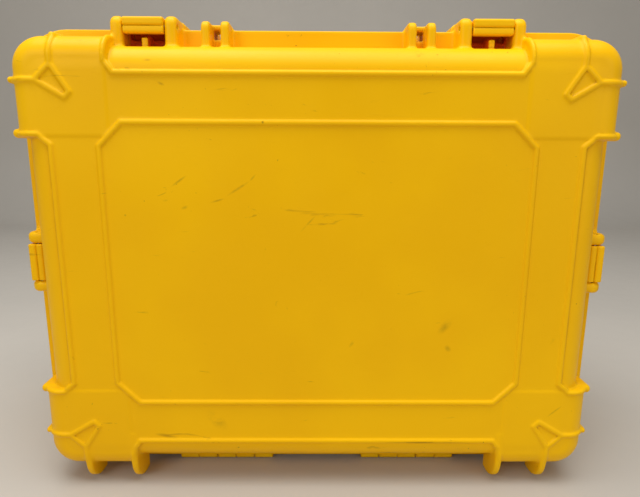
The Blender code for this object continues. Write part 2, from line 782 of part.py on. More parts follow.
def handle():
    """A flat-folding handle: two arms, a cross bar and a soft grip round the bar."""
    y, z = HANDLE_PIVOT
    arm = arc((y, z), 7 * MM, 90, 270, 6)
    arm += [(HANDLE_GRIP_Y - 8 * MM, z - 7 * MM), (HANDLE_GRIP_Y + 5.5 * MM, z - 6 * MM)]
    arm += [(HANDLE_GRIP_Y + 5.5 * MM, z + 6 * MM), (HANDLE_GRIP_Y - 8 * MM, z + 7 * MM)]
    arms = slab(arm, HANDLE_ARM_IN, HANDLE_ARM_OUT, "YZ")
    frame = together([arms, mirrored(arms)])
    bar = box(
        (-HANDLE_ARM_IN - 4 * MM, HANDLE_ARM_IN + 4 * MM),
        (HANDLE_GRIP_Y - HANDLE_BAR_W / 2, HANDLE_GRIP_Y + HANDLE_BAR_W / 2 - 0.2 * MM),
        (z - HANDLE_BAR_T / 2 + 0.2 * MM, z + HANDLE_BAR_T / 2 - 0.2 * MM),
    )
    cut(add(frame, bar), handle_bores())
    piece(frame, "handle_frame", SHELL)

    outline = rounded(GRIP_W / 2, GRIP_T / 2, 8 * MM, (HANDLE_GRIP_Y, z), 4)
    grip = slab(outline, -GRIP_HALF, GRIP_HALF, "YZ")
    hole = box(
        (-0.1, 0.1),
        (HANDLE_GRIP_Y - HANDLE_BAR_W / 2 - GAP, HANDLE_GRIP_Y + HANDLE_BAR_W / 2 + GAP),
        (z - HANDLE_BAR_T / 2 - GAP, z + HANDLE_BAR_T / 2 + GAP),
    )
    piece(cut(grip, hole), "handle_grip", RUBBER)

    for sign, side in ((-1, "left"), (1, "right")):
        start = (sign * (HANDLE_ARM_IN + 1 * MM), y, z)
        end = (sign * (HANDLE_LUG_OUT - 2.5 * MM), y, z)
        piece(rod(start, end, HANDLE_PIN_R, 12), "handle_pin_" + side, STEEL)


def turned(profile, place, name, finish, steps=20):
    """A turned piece from (radius, height) points, run down its outer side; its axis is +Z."""
    bm = bmesh.new()
    verts = [bm.verts.new((radius, 0, height)) for radius, height in profile]
    for i in range(len(verts)):
        bm.edges.new((verts[i - 1], verts[i]))
    obj = from_bmesh(bm)
    obj.location = place
    screw = obj.modifiers.new("turn", "SCREW")
    screw.steps = steps
    screw.render_steps = steps
    screw.use_merge_vertices = True
    screw.merge_threshold = 1e-5
    return piece(obj, name, finish)


def valve():
    """The pressure valve in the top wall: cap, seal ring, membrane and inner nut."""
    outside = CENTRE_Z + TOP_WALL
    place = Vector((0, VALVE_Y, outside))
    inside = -WALL
    ring_t = 1.6 * MM
    bore = 2.5 * MM
    cap = (
        (bore, 5 * MM),
        (VALVE_R - 3 * MM, 5 * MM),
        (VALVE_R, 3.5 * MM),
        (VALVE_R, ring_t + GAP),
        (VALVE_STEM_R, ring_t + GAP),
        (VALVE_STEM_R, inside - 7 * MM),
        (bore, inside - 7 * MM),
    )
    turned(cap, place, "valve_cap", DARK)
    seal = (
        (VALVE_STEM_R + GAP, ring_t),
        (VALVE_R - 2 * MM, ring_t),
        (VALVE_R - 1 * MM, ring_t / 2),
        (VALVE_R - 2 * MM, GAP),
        (VALVE_STEM_R + GAP, GAP),
    )
    turned(seal, place, "valve_seal", RUBBER)
    nut = rod((0, 0, inside - 5.3 * MM), (0, 0, inside - GAP), 11 * MM, 6)
    nut.data.transform(Matrix.Translation(place))
    cut(
        nut,
        rod(
            place + Vector((0, 0, inside - 9 * MM)),
            place + Vector((0, 0, inside + 2 * MM)),
            VALVE_STEM_R + GAP,
        ),
    )
    piece(nut, "valve_nut", DARK)
    disc = rod((0, 0, -3 * MM), (0, 0, -2.4 * MM), bore - GAP, 16)
    disc.data.transform(Matrix.Translation(place))
    piece(disc, "valve_membrane", RUBBER)


def foam():
    """The lid's pad, the base's block with its pockets, and the pad under it."""
    half_w, half_h = CAVITY_HALF_W - FOAM_GAP, CAVITY_HALF_H - FOAM_GAP
    outline = rounded(half_w, half_h, CAVITY_R - FOAM_GAP, steps=4)
    lid_low = LID_FACE_Y + WALL + GAP
    pad = slab(rounded(half_w - 6 * MM, half_h - 6 * MM, 24 * MM, steps=4), lid_low, -95 * MM)
    piece(pad, "lid_foam", FOAM)

    block = slab(outline, PARTING_Y - 2 * MM, FLOOR_PAD_FRONT - GAP)
    low, high = PARTING_Y - 20 * MM, FLOOR_PAD_FRONT + 20 * MM
    x, z, radius = RECEIVER_POCKET
    cutters = [rod((x, low, CENTRE_Z + z), (x, high, CENTRE_Z + z), radius, 40)]
    for x, z, half_x, half_z in POCKETS:
        pocket = rounded(half_x, half_z, 12 * MM, (x, CENTRE_Z + z), 4)
        cutters.append(slab(pocket, low, high))
    cut(block, together(cutters))
    notch_z = CENTRE_Z + CAVITY_HALF_H
    notch = box(
        (-16 * MM, 16 * MM),
        (VALVE_Y - 16 * MM, VALVE_Y + 16 * MM),
        (notch_z - 10 * MM, notch_z + 10 * MM),
    )
    cut(block, notch)
    piece(block, "base_foam_block", FOAM)

    floor_high = BACK_Y - WALL - GAP
    floor_outline = rounded(half_w - 8 * MM, half_h - 8 * MM, 22 * MM, steps=4)
    floor = slab(floor_outline, FLOOR_PAD_FRONT, floor_high)
    piece(floor, "base_foam_floor", FOAM)


lid_shell()
base_shell()
gasket()
hinge_pins()
for place in LATCHES:
    lever(place)
    trigger(place)
    leaf_spring(place)
    latch_pins(place)
handle()
valve()
foam()

for obj in case.objects:
    obj.data.shade_smooth()
    obj.data.set_sharp_from_angle(angle=math.radians(35))

# ---------------------------------------------------------------- what turns on what


def joint_axis(name, place, *carried):
    """An empty on a joint's axis; the pieces that turn about it hang on it, in place."""
    axis = bpy.data.objects.new(name, None)
    axis.location = place
    case.objects.link(axis)
    for obj in carried:
        obj.parent = axis
        obj.matrix_parent_inverse = Matrix.Translation(-Vector(place))
    return axis


def latch_axis(latch):
    """The axis of a latch's lever, which carries the axis of its trigger."""
    name = latch[0]
    made = case.objects
    trigger_axis = joint_axis(
        "trigger_axis_" + name,
        latch_frame(latch) @ Vector((0, *TRIGGER_PIVOT)),
        made["latch_trigger_" + name],
    )
    return joint_axis(
        "latch_axis_" + name,
        latch_frame(latch) @ Vector((0, *LEVER_PIVOT)),
        made["latch_lever_" + name],
        made["trigger_pin_" + name],
        made["trigger_spring_" + name],
        trigger_axis,
    )


ON_LID = ("lid_shell", "gasket", "lid_foam")
lid_pieces = [case.objects[name] for name in ON_LID]
lid_pieces += [case.objects["latch_pin_" + latch[0]] for latch in LATCHES]
lid_pieces += [latch_axis(latch) for latch in LATCHES]
joint_axis("lid_axis", (0, PARTING_Y, HINGE_Z), *lid_pieces)

joint_axis(
    "handle_axis",
    (0, *HANDLE_PIVOT),
    case.objects["handle_frame"],
    case.objects["handle_grip"],
)
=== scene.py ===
"""Looks for a moulded hard transport case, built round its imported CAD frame.

The two shells, the latches and the handle are solids described by signed distances, so that
every edge is rounded and every joint has a fillet, as in a moulded part. Each is turned into a
mesh once, and rides on the CAD body that it stands for. All sizes are in metres, in the frame's
axes: the lid faces -Y, +Z is up, and heights written h are measured from the middle of the lid.
"""

import json
import math

import bmesh
import bpy
import numpy as np
from mathutils import Matrix, Vector


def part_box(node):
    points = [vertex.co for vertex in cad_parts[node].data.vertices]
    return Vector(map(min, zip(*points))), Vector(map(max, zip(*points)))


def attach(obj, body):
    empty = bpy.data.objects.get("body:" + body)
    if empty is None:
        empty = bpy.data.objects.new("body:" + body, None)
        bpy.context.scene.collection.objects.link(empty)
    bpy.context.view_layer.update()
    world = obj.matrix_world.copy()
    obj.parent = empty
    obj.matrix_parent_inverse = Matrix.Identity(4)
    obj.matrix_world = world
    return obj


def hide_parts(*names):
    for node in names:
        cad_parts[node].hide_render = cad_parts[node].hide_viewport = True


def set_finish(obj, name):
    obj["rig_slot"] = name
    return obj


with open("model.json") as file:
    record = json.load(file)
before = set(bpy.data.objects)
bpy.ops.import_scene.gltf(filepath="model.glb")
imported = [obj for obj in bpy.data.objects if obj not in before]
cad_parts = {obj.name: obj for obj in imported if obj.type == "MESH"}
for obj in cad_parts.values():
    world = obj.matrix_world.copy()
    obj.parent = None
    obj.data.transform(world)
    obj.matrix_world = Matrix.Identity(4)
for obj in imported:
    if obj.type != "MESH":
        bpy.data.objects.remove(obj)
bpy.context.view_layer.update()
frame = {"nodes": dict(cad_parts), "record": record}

MM = 0.001


def middle(node):
    low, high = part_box(node)
    return (low + high) / 2


def node_box(node):
    """The (low, high) pair of each axis of a CAD node's box."""
    return tuple(zip(*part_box(node)))


# ---------------------------------------------------------------- sizes

SEAM = 0.3 * MM
CENTRE_Z = middle("gasket").z
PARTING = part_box("gasket")[1].y + SEAM
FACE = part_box("lid_shell")[0].y + 2 * MM
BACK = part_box("base_shell")[1].y - 2 * MM

HALF_W, HALF_H, CORNER_R = 300 * MM, 230 * MM, 31 * MM
SIDE_WALL, TOP_WALL = 293 * MM, 223 * MM
TOP_RECESS, SIDE_RECESS = 204 * MM, 134 * MM  # half lengths of the recessed panels
EDGE_R, RECESS_R = 22 * MM, 27 * MM  # roundings of the lid's front edges
BACK_R = 20 * MM
STEP = 1.2 * MM  # how far a recessed panel drops behind its trim rib

FLANGE_W, FLANGE_H, FLANGE_R = 311 * MM, 242 * MM, 54 * MM
FLANGE_T = 9 * MM
CAVITY_W, CAVITY_H, CAVITY_R = 288.5 * MM, 218.5 * MM, 32 * MM
WALL = 4.5 * MM

RIB_H, RIB_HALF = 2.1 * MM, 2.5 * MM
FIN_T, FIN_R = 7 * MM, 30 * MM
FIN_X = (204 * MM, 255 * MM)
EDGE_FIN_T = 5 * MM
TOP_FIN_X, TOP_FIN_REACH = 256.5 * MM, 232.4 * MM
SIDE_FINS = ((137 * MM, 9 * MM), (188 * MM, 6.5 * MM))  # height, thickness
SIDE_FIN_REACH = 304 * MM

FIN_LID_END, FIN_BASE_START = PARTING - 15 * MM, PARTING + 13 * MM

HINGE = middle("hinge_pin_right")
HINGE_PIN_R = 2.2 * MM
KNUCKLE_R, KNUCKLE_L, KNUCKLE_GAP, KNUCKLES = 6 * MM, 22 * MM, 0.6 * MM, 5
PIN_GAP = 0.3 * MM

LEVER_PIN_BELOW = 1 * MM  # the lever's pin lies this far inside the seat
LEVER_PIN = middle("latch_pin_front_right")
LATCH_X = LEVER_PIN.x
SEAT_Z = LEVER_PIN.z + LEVER_PIN_BELOW
SIDE_SEAT_X = middle("latch_pin_side_right").x + LEVER_PIN_BELOW
SIDE_LATCH_Z = middle("latch_pin_side_right").z
LEVER_PIN_Y = LEVER_PIN.y - PARTING
TRIGGER_PIN = middle("trigger_pin_front_right")
TRIGGER_PIN_Y, TRIGGER_PIN_Z = TRIGGER_PIN.y - PARTING, TRIGGER_PIN.z - SEAT_Z
LEVER_BORE_R = 2.3 * MM
EAR_IN, EAR_OUT, EAR_TOP, EAR_FRONT = 20.5 * MM, 33 * MM, 9.5 * MM, -31 * MM
EAR_BURIED = 20 * MM  # how far an ear's outline goes on below its root
GUARD_SLOPE = (15.5, 10)  # the fall of a base guard's top, as a normal (along, out)
LEVER_HALF, CORE_R, LEVER_END = 19.8 * MM, 5.0 * MM, 38 * MM
BAR_SWEEP = 10.2 * MM  # how far from the pin the lever's bar reaches as it turns

LUG_X, LUG_HALF, LUG_RIB, LUG_TOP = 102.5 * MM, 13.8 * MM, 8.4 * MM, 247 * MM
LUG_WALL = 11 * MM  # thickness of the wall between a lug's ribs
LUG_HOLE_HALF, LUG_HOLE_LOW, LUG_HOLE_HIGH = 4.8 * MM, 232 * MM, 241.5 * MM

HANDLE_PIN = middle("handle_pin_right")
GRIP = middle("handle_grip")
VALVE = middle("valve_cap")

# ---------------------------------------------------------------- distances and solids


def meet(a, b, radius=0.0):
    """The part that is in both shapes, with its edge rounded."""
    if np.isscalar(radius) and radius == 0:
        return np.maximum(a, b)
    a, b = a + radius, b + radius
    corner = np.hypot(np.maximum(a, 0), np.maximum(b, 0))
    return corner + np.minimum(np.maximum(a, b), 0) - radius


def join(a, b, radius=0.0):
    """Both shapes together, with a fillet where they meet."""
    return -meet(-a, -b, radius)


def rectangle(u, v, half_u, half_v, radius):
    return meet(np.abs(u) - half_u, np.abs(v) - half_v, radius)


def between(u, low, high):
    return np.abs(u - (low + high) / 2) - (high - low) / 2


def round_box(x, y, z, xs, ys, zs, radius):
    """A block between the (low, high) pairs xs, ys and zs, rounded on every edge."""
    return meet(meet(between(x, *xs), between(y, *ys), radius), between(z, *zs), radius)


def segment(u, v, start, end):
    """Distance from the line between two points."""
    way = np.array(end) - np.array(start)
    t = ((u - start[0]) * way[0] + (v - start[1]) * way[1]) / (way @ way)
    t = np.clip(t, 0, 1)
    return np.hypot(u - start[0] - t * way[0], v - start[1] - t * way[1])


def path(u, v, points):
    return np.minimum.reduce([segment(u, v, *ends) for ends in zip(points, points[1:])])


def polygon(u, v, points):
    """Signed distance from a closed outline: negative inside."""
    inside = np.zeros(np.broadcast(u, v).shape, bool)
    for (au, av), (bu, bv) in zip(points, points[1:] + points[:1]):
        crosses = (av > v) != (bv > v)
        reach = au + (v - av) / (bv - av if bv != av else 1) * (bu - au)
        inside ^= crosses & (u < reach)
    distance = path(u, v, points + points[:1])
    return np.where(inside, -distance, distance)


class Solid:
    """A solid as a list of joins and cuts, each worked out only near its own box."""

    def __init__(self):
        self.steps = []
        self.hollows = []

    def step(self, kind, shape, box, radius, both):
        low, high = np.array(box, float).T
        boxes = [(low, high)]
        if both:
            boxes.append((low * (-1, 1, 1), high * (-1, 1, 1)))
        room = radius + 3 * MM
        for one, other in boxes:
            low, high = np.minimum(one, other) - room, np.maximum(one, other) + room
            self.steps.append((kind, shape, low, high, radius, both))

    def join(self, shape, box, radius=0.0, both=True):
        self.step("join", shape, box, radius, both)

    def cut(self, shape, box, radius=0.0, both=True):
        self.step("cut", shape, box, radius, both)

    def apply(self, kind, value, distance, radius):
        if kind == "join":
            return join(value, distance, radius)
        return meet(value, -distance, radius)

    def on_grid(self, axes):
        value = np.full([len(a) for a in axes], 1.0, np.float32)
        for kind, shape, low, high, radius, both in self.steps:
            part = tuple(
                slice(*np.searchsorted(axis, (start, end)))
                for axis, start, end in zip(axes, low, high)
            )
            if any(s.start == s.stop for s in part):
                continue
            x, y, z = (axis[s].astype(np.float32) for axis, s in zip(axes, part))
            x, y, z = x[:, None, None], y[None, :, None], z[None, None, :]
            distance = shape(np.abs(x) if both else x, y, z)
            value[part] = self.apply(kind, value[part], distance, radius)
        return value

    def at(self, points, without=()):
        value = np.full(len(points), 1.0)
        for kind, shape, low, high, radius, both in self.steps:
            near = np.all((points > low) & (points < high), axis=1)
            if shape in without or not near.any():
                continue
            x, y, z = points[near].T
            distance = shape(np.abs(x) if both else x, y, z)
            value[near] = self.apply(kind, value[near], distance, radius)
        return value

    def slope(self, points, reach=0.03 * MM):
        """The value at each point, and how it changes along each axis."""
        value = self.at(points)
        shifts = np.eye(3) * reach
        return value, np.stack([(self.at(points + s) - value) / reach for s in shifts], axis=1)


def ticks(*stops):
    """Grid lines through (place, step as far as the next place) pairs."""
    lines = []
    for (start, step), (end, _) in zip(stops, stops[1:]):
        count = max(1, round((end - start) / step))
        lines += [start + (end - start) * i / count for i in range(count)]
    return np.array(lines + [stops[-1][0]])


def mm_ticks(*stops):
    return ticks(*((place * MM, step * MM) for place, step in stops))


def box_ticks(node, axis, margin, step):
    """Grid lines through a CAD node's box and a margin past it."""
    low, high = node_box(node)[axis]
    return ticks((low - margin, step), (high + margin, 0))


def mirrored(half):
    return np.concatenate([-half[:0:-1], half])


def surface(value, axes):
    """Points and quads of the zero surface of a grid of values: one point in each crossed cell."""
    inside = value < 0
    corners = inside.astype(np.int8)
    for axis in range(3):
        corners = np.moveaxis(corners, axis, 0)
        corners = np.moveaxis(corners[:-1] + corners[1:], 0, axis)
    cells = np.argwhere((corners > 0) & (corners < 8))
    number = np.full(corners.shape, -1, np.int32)
    number[tuple(cells.T)] = np.arange(len(cells))
    total, count = np.zeros((len(cells), 3)), np.zeros(len(cells))
    for axis in range(3):
        u, w = (axis + 1) % 3, (axis + 2) % 3
        for du in (0, 1):
            for dw in (0, 1):
                start = cells.copy()
                start[:, u] += du
                start[:, w] += dw
                end = start.copy()
                end[:, axis] += 1
                a, b = value[tuple(start.T)], value[tuple(end.T)]
                crossed = (a < 0) != (b < 0)
                share = np.where(crossed, a / np.where(crossed, a - b, 1), 0)
                place = np.stack([axes[i][start[:, i]] for i in range(3)], axis=1)
                far = axes[axis][end[:, axis]]
                place[:, axis] += share * (far - place[:, axis])
                total += place * crossed[:, None]
                count += crossed
    points = total / count[:, None]
    quads = []
    for axis in range(3):
        u, w = (axis + 1) % 3, (axis + 2) % 3
        first = np.moveaxis(inside, axis, 0)[:-1]
        second = np.moveaxis(inside, axis, 0)[1:]
        at = np.argwhere(np.moveaxis(first != second, 0, axis))
        limits = np.array(corners.shape)
        at = at[(at[:, u] > 0) & (at[:, w] > 0) & (at[:, u] < limits[u]) & (at[:, w] < limits[w])]
        ring = []
        for du, dw in ((0, 0), (1, 0), (1, 1), (0, 1)):
            cell = at.copy()
            cell[:, u] -= du
            cell[:, w] -= dw
            ring.append(number[tuple(cell.T)])
        ring = np.stack(ring, axis=1)
        outward = inside[tuple(at.T)]
        ring[~outward] = ring[~outward][:, ::-1]
        quads.append(ring)
    return points, np.concatenate(quads)


def mesh_from(points, quads, name):
    mesh = bpy.data.meshes.new(name)
    mesh.vertices.add(len(points))
    mesh.vertices.foreach_set("co", points.astype(np.float32).ravel())
    mesh.loops.add(quads.size)
    mesh.loops.foreach_set("vertex_index", quads.astype(np.int32).ravel())
    mesh.polygons.add(len(quads))
    starts = np.arange(0, quads.size, quads.shape[1], dtype=np.int32)
    mesh.polygons.foreach_set("loop_start", starts)
    mesh.update(calc_edges=True)
    mesh.validate()
    mesh.shade_smooth()
    return mesh


def set_values(mesh, name, values):
    mesh.attributes.new(name, "FLOAT", "POINT").data.foreach_set("value", values.astype(np.float32))


def carved(solid, axes, name, place=None, share=1.0):
    """The solid's mesh, its points drawn onto the true surface, with crevice and edge values."""
    value = solid.on_grid(axes)
    points, quads = surface(value, axes)
    for _ in range(2):
        value, slope = solid.slope(points)
        steep = np.maximum((slope**2).sum(axis=1), 0.2)
        move = -(value / steep)[:, None] * slope
        size = np.linalg.norm(move, axis=1, keepdims=True)
        points = points + move * np.minimum(1, 0.6 * MM / np.maximum(size, 1e-9))
    normal = slope / np.maximum(np.linalg.norm(slope, axis=1, keepdims=True), 1e-9)
    out, back = 4 * MM, 2.5 * MM
    crevice = np.clip(1 - solid.at(points + normal * out) / out, 0, 1)
    edge = np.clip(1 + solid.at(points - normal * back, without=solid.hollows) / back, 0, 1)
    mesh = mesh_from(points, quads, name)
    set_values(mesh, "crevice", crevice)
    set_values(mesh, "edge", edge)
    if place is not None:
        mesh.transform(place)
    obj = bpy.data.objects.new(name, mesh)
    bpy.context.scene.collection.objects.link(obj)
    if share < 1:
        thin = obj.modifiers.new("thin", "DECIMATE")
        thin.ratio = share
    return obj


# ---------------------------------------------------------------- the shells' walls

TRIM_TOP = ((0, 194), (196.5, 194), (204, 205), (204, 300))
TRIM_BOTTOM = ((0, 194), (195, 194), (201, 203), (204, 213), (204, 300))
TRIM_SIDE = ((262, 0), (262, 126), (274, 136), (360, 136))
PANEL = ((0, 148), (192, 148), (215, 125), (215, 0))
TRIANGLE = ((255.5, 202), (271, 187), (244, 171), (239, 176))
TAIL_TOP = ((255.5, 202), (256.5, 300))
TAIL_BOTTOM = ((255.5, 202), (255, 300))
TAIL_SIDE = ((271, 187), (360, 188))


def in_mm(points):
    return [(u * MM, v * MM) for u, v in points]


def corner_region(x, h):
    """Negative in the four corner blocks."""
    return np.maximum(TOP_RECESS - np.abs(x), SIDE_RECESS - np.abs(h))


def rounded_half(x, h, past, block_radius, wall_radius):
    """A half of the case: lower walls between four corner blocks, with rounded front edges."""
    walls = meet(rectangle(x, h, SIDE_WALL, TOP_WALL, CORNER_R), past, wall_radius)
    blocks = meet(rectangle(x, h, HALF_W, HALF_H, CORNER_R), past, block_radius)
    return join(walls, meet(blocks, corner_region(x, h), 2.5 * MM), 2.5 * MM)


def ramp(distance, width):
    """1 well inside a region, 0 well outside, over a band of that width."""
    t = np.clip(0.5 - distance / width, 0, 1)
    return t * t * (3 - 2 * t)


def panel_drop(x, h):
    """How far the recessed panels and the corner triangles lie behind the face."""
    x, h = np.abs(x), np.abs(h)
    top = np.maximum(194 * MM - h, x - 196.5 * MM - 0.68 * np.maximum(h - 194 * MM, 0))
    top = np.maximum(top, x - TOP_RECESS)
    side = np.maximum(262 * MM - x, h - 126 * MM - 0.83 * np.maximum(x - 262 * MM, 0))
    side = np.maximum(side, h - SIDE_RECESS)
    drop = STEP * ramp(np.minimum(top, side), 2.5 * MM)
    return drop + 0.8 * MM * ramp(polygon(x, h, in_mm(TRIANGLE)) + 2 * MM, 2 * MM)


def rib_pattern(x, h, up):
    """Distance from the middle lines of the face's ribs; up is True in the upper half."""
    x, a = np.abs(x), np.abs(h)
    common = [path(x, a, in_mm(points)) for points in (PANEL, TRIM_SIDE, TAIL_SIDE)]
    common.append(np.abs(polygon(x, a, in_mm(TRIANGLE))))
    upper = [path(x, a, in_mm(points)) for points in (TRIM_TOP, TAIL_TOP)]
    lower = [path(x, a, in_mm(points)) for points in (TRIM_BOTTOM, TAIL_BOTTOM)]
    own = np.where(up, np.minimum(*upper), np.minimum(*lower))
    return np.minimum(np.minimum.reduce(common), own)


def ribbed_tray(face, toward, block_radius, wall_radius):
    """A closed half with its recessed panels and the ribs round them."""

    def shape(x, y, z):
        h = z - CENTRE_Z
        plain = rounded_half(x, h, toward * (y - face), block_radius, wall_radius)
        lines = rib_pattern(x, h, h > 0) - RIB_HALF
        return join(plain + panel_drop(x, h), meet(plain - RIB_H, lines, 1.7 * MM), 1.4 * MM)

    return shape


def full(ys):
    return ((-0.32, 0.32), ys, (-0.01, 0.52))


def add_flange(solid, low, high):
    def shape(x, y, z):
        outline = rectangle(x, z - CENTRE_Z, FLANGE_W, FLANGE_H, FLANGE_R)
        return meet(outline, between(y, low, high), 1.6 * MM)

    solid.join(shape, full((low, high)), 2 * MM, both=False)


def add_fins(solid, start, end, outline, span):
    """Standing fins of that YZ outline, and the edge fins from start to end along Y."""
    for place in FIN_X:

        def standing(x, y, z, place=place):
            return meet(outline(y, z), np.abs(x - place) - FIN_T / 2, 2 * MM)

        box = ((place - FIN_T / 2, place + FIN_T / 2), span, (-1 * MM, 60 * MM))
        solid.join(standing, box, 3 * MM)

    def top(x, y, z):
        zs = (CENTRE_Z + TOP_WALL - 20 * MM, CENTRE_Z + TOP_FIN_REACH)
        xs = (TOP_FIN_X - EDGE_FIN_T / 2, TOP_FIN_X + EDGE_FIN_T / 2)
        return round_box(x, y, z, xs, (start, end), zs, 2.4 * MM)

    box = ((TOP_FIN_X - 4 * MM, TOP_FIN_X + 4 * MM), (start, end), (0.45, 0.49))
    solid.join(top, box, 3 * MM)
    for height, thick in SIDE_FINS:

        def side(x, y, z, height=height, thick=thick):
            across = np.abs(np.abs(z - CENTRE_Z) - height) - thick / 2
            outline = between(x, SIDE_WALL - 20 * MM, SIDE_FIN_REACH)
            return meet(meet(outline, across, thick / 2 - 0.1 * MM), between(y, start, end), 4 * MM)

        for sign in (-1, 1):
            z = CENTRE_Z + sign * height
            box = ((0.28, SIDE_FIN_REACH), (start, end), (z - thick / 2, z + thick / 2))
            solid.join(side, box, 1.5 * MM)


def knuckle_spans(indexes):
    pitch = KNUCKLE_L + KNUCKLE_GAP
    for index in indexes:
        centre = HINGE.x + (index - (KNUCKLES - 1) / 2) * pitch
        yield centre - KNUCKLE_L / 2, centre + KNUCKLE_L / 2


def add_knuckles(solid, own, other, away):
    """This half's knuckles with their webs, and room for the other half's."""
    for low, high in knuckle_spans(other):
        xs = (low - 0.4 * MM, high + 0.4 * MM)

        def room(x, y, z, xs=xs):
            barrel = np.hypot(y - HINGE.y, z - HINGE.z) - KNUCKLE_R - KNUCKLE_GAP
            return np.maximum(barrel, between(x, *xs))

        ys, zs = (HINGE.y - 7 * MM, HINGE.y + 7 * MM), (HINGE.z - 7 * MM, HINGE.z + 7 * MM)
        solid.cut(room, (xs, ys, zs))
    web = sorted((HINGE.y + away * 0.8 * MM, HINGE.y + away * (FLANGE_T - 0.6 * MM)))
    for low, high in knuckle_spans(own):
        xs = (low, high)

        def knuckle(x, y, z, xs=xs):
            barrel = np.hypot(y - HINGE.y, z - HINGE.z) - KNUCKLE_R
            plate = np.maximum(between(y, *web), between(z, HINGE.z - 1 * MM, 16 * MM))
            return meet(join(barrel, plate, 1.5 * MM), between(x, *xs), 0.8 * MM)

        ys, zs = (HINGE.y - 7 * MM, HINGE.y + 10 * MM), (HINGE.z - 7 * MM, 17 * MM)
        if away < 0:
            ys = (HINGE.y - 10 * MM, HINGE.y + 7 * MM)
        solid.join(knuckle, (xs, ys, zs), 0)

        def bore(x, y, z, xs=xs):
            hole = np.hypot(y - HINGE.y, z - HINGE.z) - HINGE_PIN_R - PIN_GAP
            return np.maximum(hole, between(x, xs[0] - 2 * MM, xs[1] + 2 * MM))

        solid.cut(bore, (xs, ys, zs))


# ---------------------------------------------------------------- latch places


def front_frame(x, y, z):
    """Across a front latch, into the base from the parting plane, and out of the wall."""
    return x - LATCH_X, y - PARTING, z - SEAT_Z


def side_frame(x, y, z):
    return z - SIDE_LATCH_Z, y - PARTING, x - SIDE_SEAT_X


def front_box(across, along, out):
    return (
        (LATCH_X + across[0], LATCH_X + across[1]),
        (PARTING + along[0], PARTING + along[1]),
        (SEAT_Z + out[0], SEAT_Z + out[1]),
    )


def side_box(across, along, out):
    return (
        (SIDE_SEAT_X + out[0], SIDE_SEAT_X + out[1]),
        (PARTING + along[0], PARTING + along[1]),
        (SIDE_LATCH_Z + across[0], SIDE_LATCH_Z + across[1]),
    )


FRONT = (front_frame, front_box, 24 * MM)
SIDE = (side_frame, side_box, 13 * MM)


def add_ears(solid, latch, inner, outer, along, radius, falls_at=None):
    """The ears at each side of a latch. A guard's top falls to the back, from a place."""
    to_frame, to_box, depth = latch

    def shape(x, y, z):
        a, b, c = to_frame(x, y, z)
        across = between(np.abs(a), inner, outer)
        outline = rectangle(
            b - (along[0] + along[1]) / 2,
            c - (EAR_TOP - depth - EAR_BURIED) / 2,
            (along[1] - along[0]) / 2,
            (EAR_TOP + depth + EAR_BURIED) / 2,
            radius,
        )
        if falls_at is not None:
            fall = (b - falls_at) * GUARD_SLOPE[0] + (c - EAR_TOP) * GUARD_SLOPE[1]
            outline = meet(outline, fall / math.hypot(*GUARD_SLOPE), radius)
        return meet(outline, across, 4.8 * MM)

    for side in (-1, 1):
        across = sorted((side * inner, side * outer))
        solid.join(shape, to_box(across, along, (-depth, EAR_TOP)), 4 * MM)


def notch(solid, latch, half, along, low):
    """Room cut for a latch's lever, from the level low outwards."""
    to_frame, to_box, _ = latch

    def shape(x, y, z):
        a, b, c = to_frame(x, y, z)
        return np.maximum(np.maximum(np.abs(a) - half, between(b, *along)), low - c)

    solid.cut(shape, to_box((-half, half), along, (low, 25 * MM)), 0.8 * MM)


def pin_bore(solid, latch):
    """The bore for a lever's pin, blind in the ears."""
    to_frame, to_box, _ = latch

    def shape(x, y, z):
        a, b, c = to_frame(x, y, z)
        hole = np.hypot(b - LEVER_PIN_Y, c + LEVER_PIN_BELOW) - LEVER_BORE_R
        return np.maximum(hole, np.abs(a) - 34 * MM)

    along = (LEVER_PIN_Y - 3 * MM, LEVER_PIN_Y + 3 * MM)
    solid.cut(shape, to_box((-34 * MM, 34 * MM), along, (-4 * MM, 2 * MM)), 0)


def add_lugs(solid, far, away):
    """Padlock lugs: two ribs with a wall between them, and the square hole through the wall."""
    bottom, top = CENTRE_Z + TOP_WALL - 30 * MM, CENTRE_Z + LUG_TOP
    ys = sorted((PARTING - away * 20 * MM, PARTING + far))
    inner, outer = LUG_X - LUG_HALF, LUG_X + LUG_HALF

    def ribs(x, y, z):
        half_y, half_z = (ys[1] - ys[0]) / 2, (top - bottom) / 2
        outline = rectangle(y - sum(ys) / 2, z - (bottom + top) / 2, half_y, half_z, 8 * MM)
        across = np.minimum(between(x, inner, inner + LUG_RIB), between(x, outer - LUG_RIB, outer))
        return meet(outline, across, 2.6 * MM)

    solid.join(ribs, ((inner, outer), ys, (CENTRE_Z + 0.21, top)), 3 * MM)
    wall = sorted((PARTING - away * 3 * MM, PARTING + away * LUG_WALL))

    def bridge(x, y, z):
        xs = (inner + 2 * MM, outer - 2 * MM)
        return round_box(x, y, z, xs, wall, (bottom, top - 0.5 * MM), 1.5 * MM)

    solid.join(bridge, ((inner, outer), wall, (CENTRE_Z + 0.21, top)), 1 * MM)

    half_hole, mid_hole = (LUG_HOLE_HIGH - LUG_HOLE_LOW) / 2, (LUG_HOLE_HIGH + LUG_HOLE_LOW) / 2

    def hole(x, y, z):
        h = z - CENTRE_Z - mid_hole
        outline = rectangle(x - LUG_X, h, LUG_HOLE_HALF, half_hole, 1 * MM)
        return np.maximum(outline, between(y, -0.2, 0))

    xs = (LUG_X - LUG_HOLE_HALF, LUG_X + LUG_HOLE_HALF)
    zs = (CENTRE_Z + LUG_HOLE_LOW, CENTRE_Z + LUG_HOLE_HIGH)
    solid.cut(hole, (xs, sorted((PARTING, PARTING + far)), zs), 0.8 * MM)


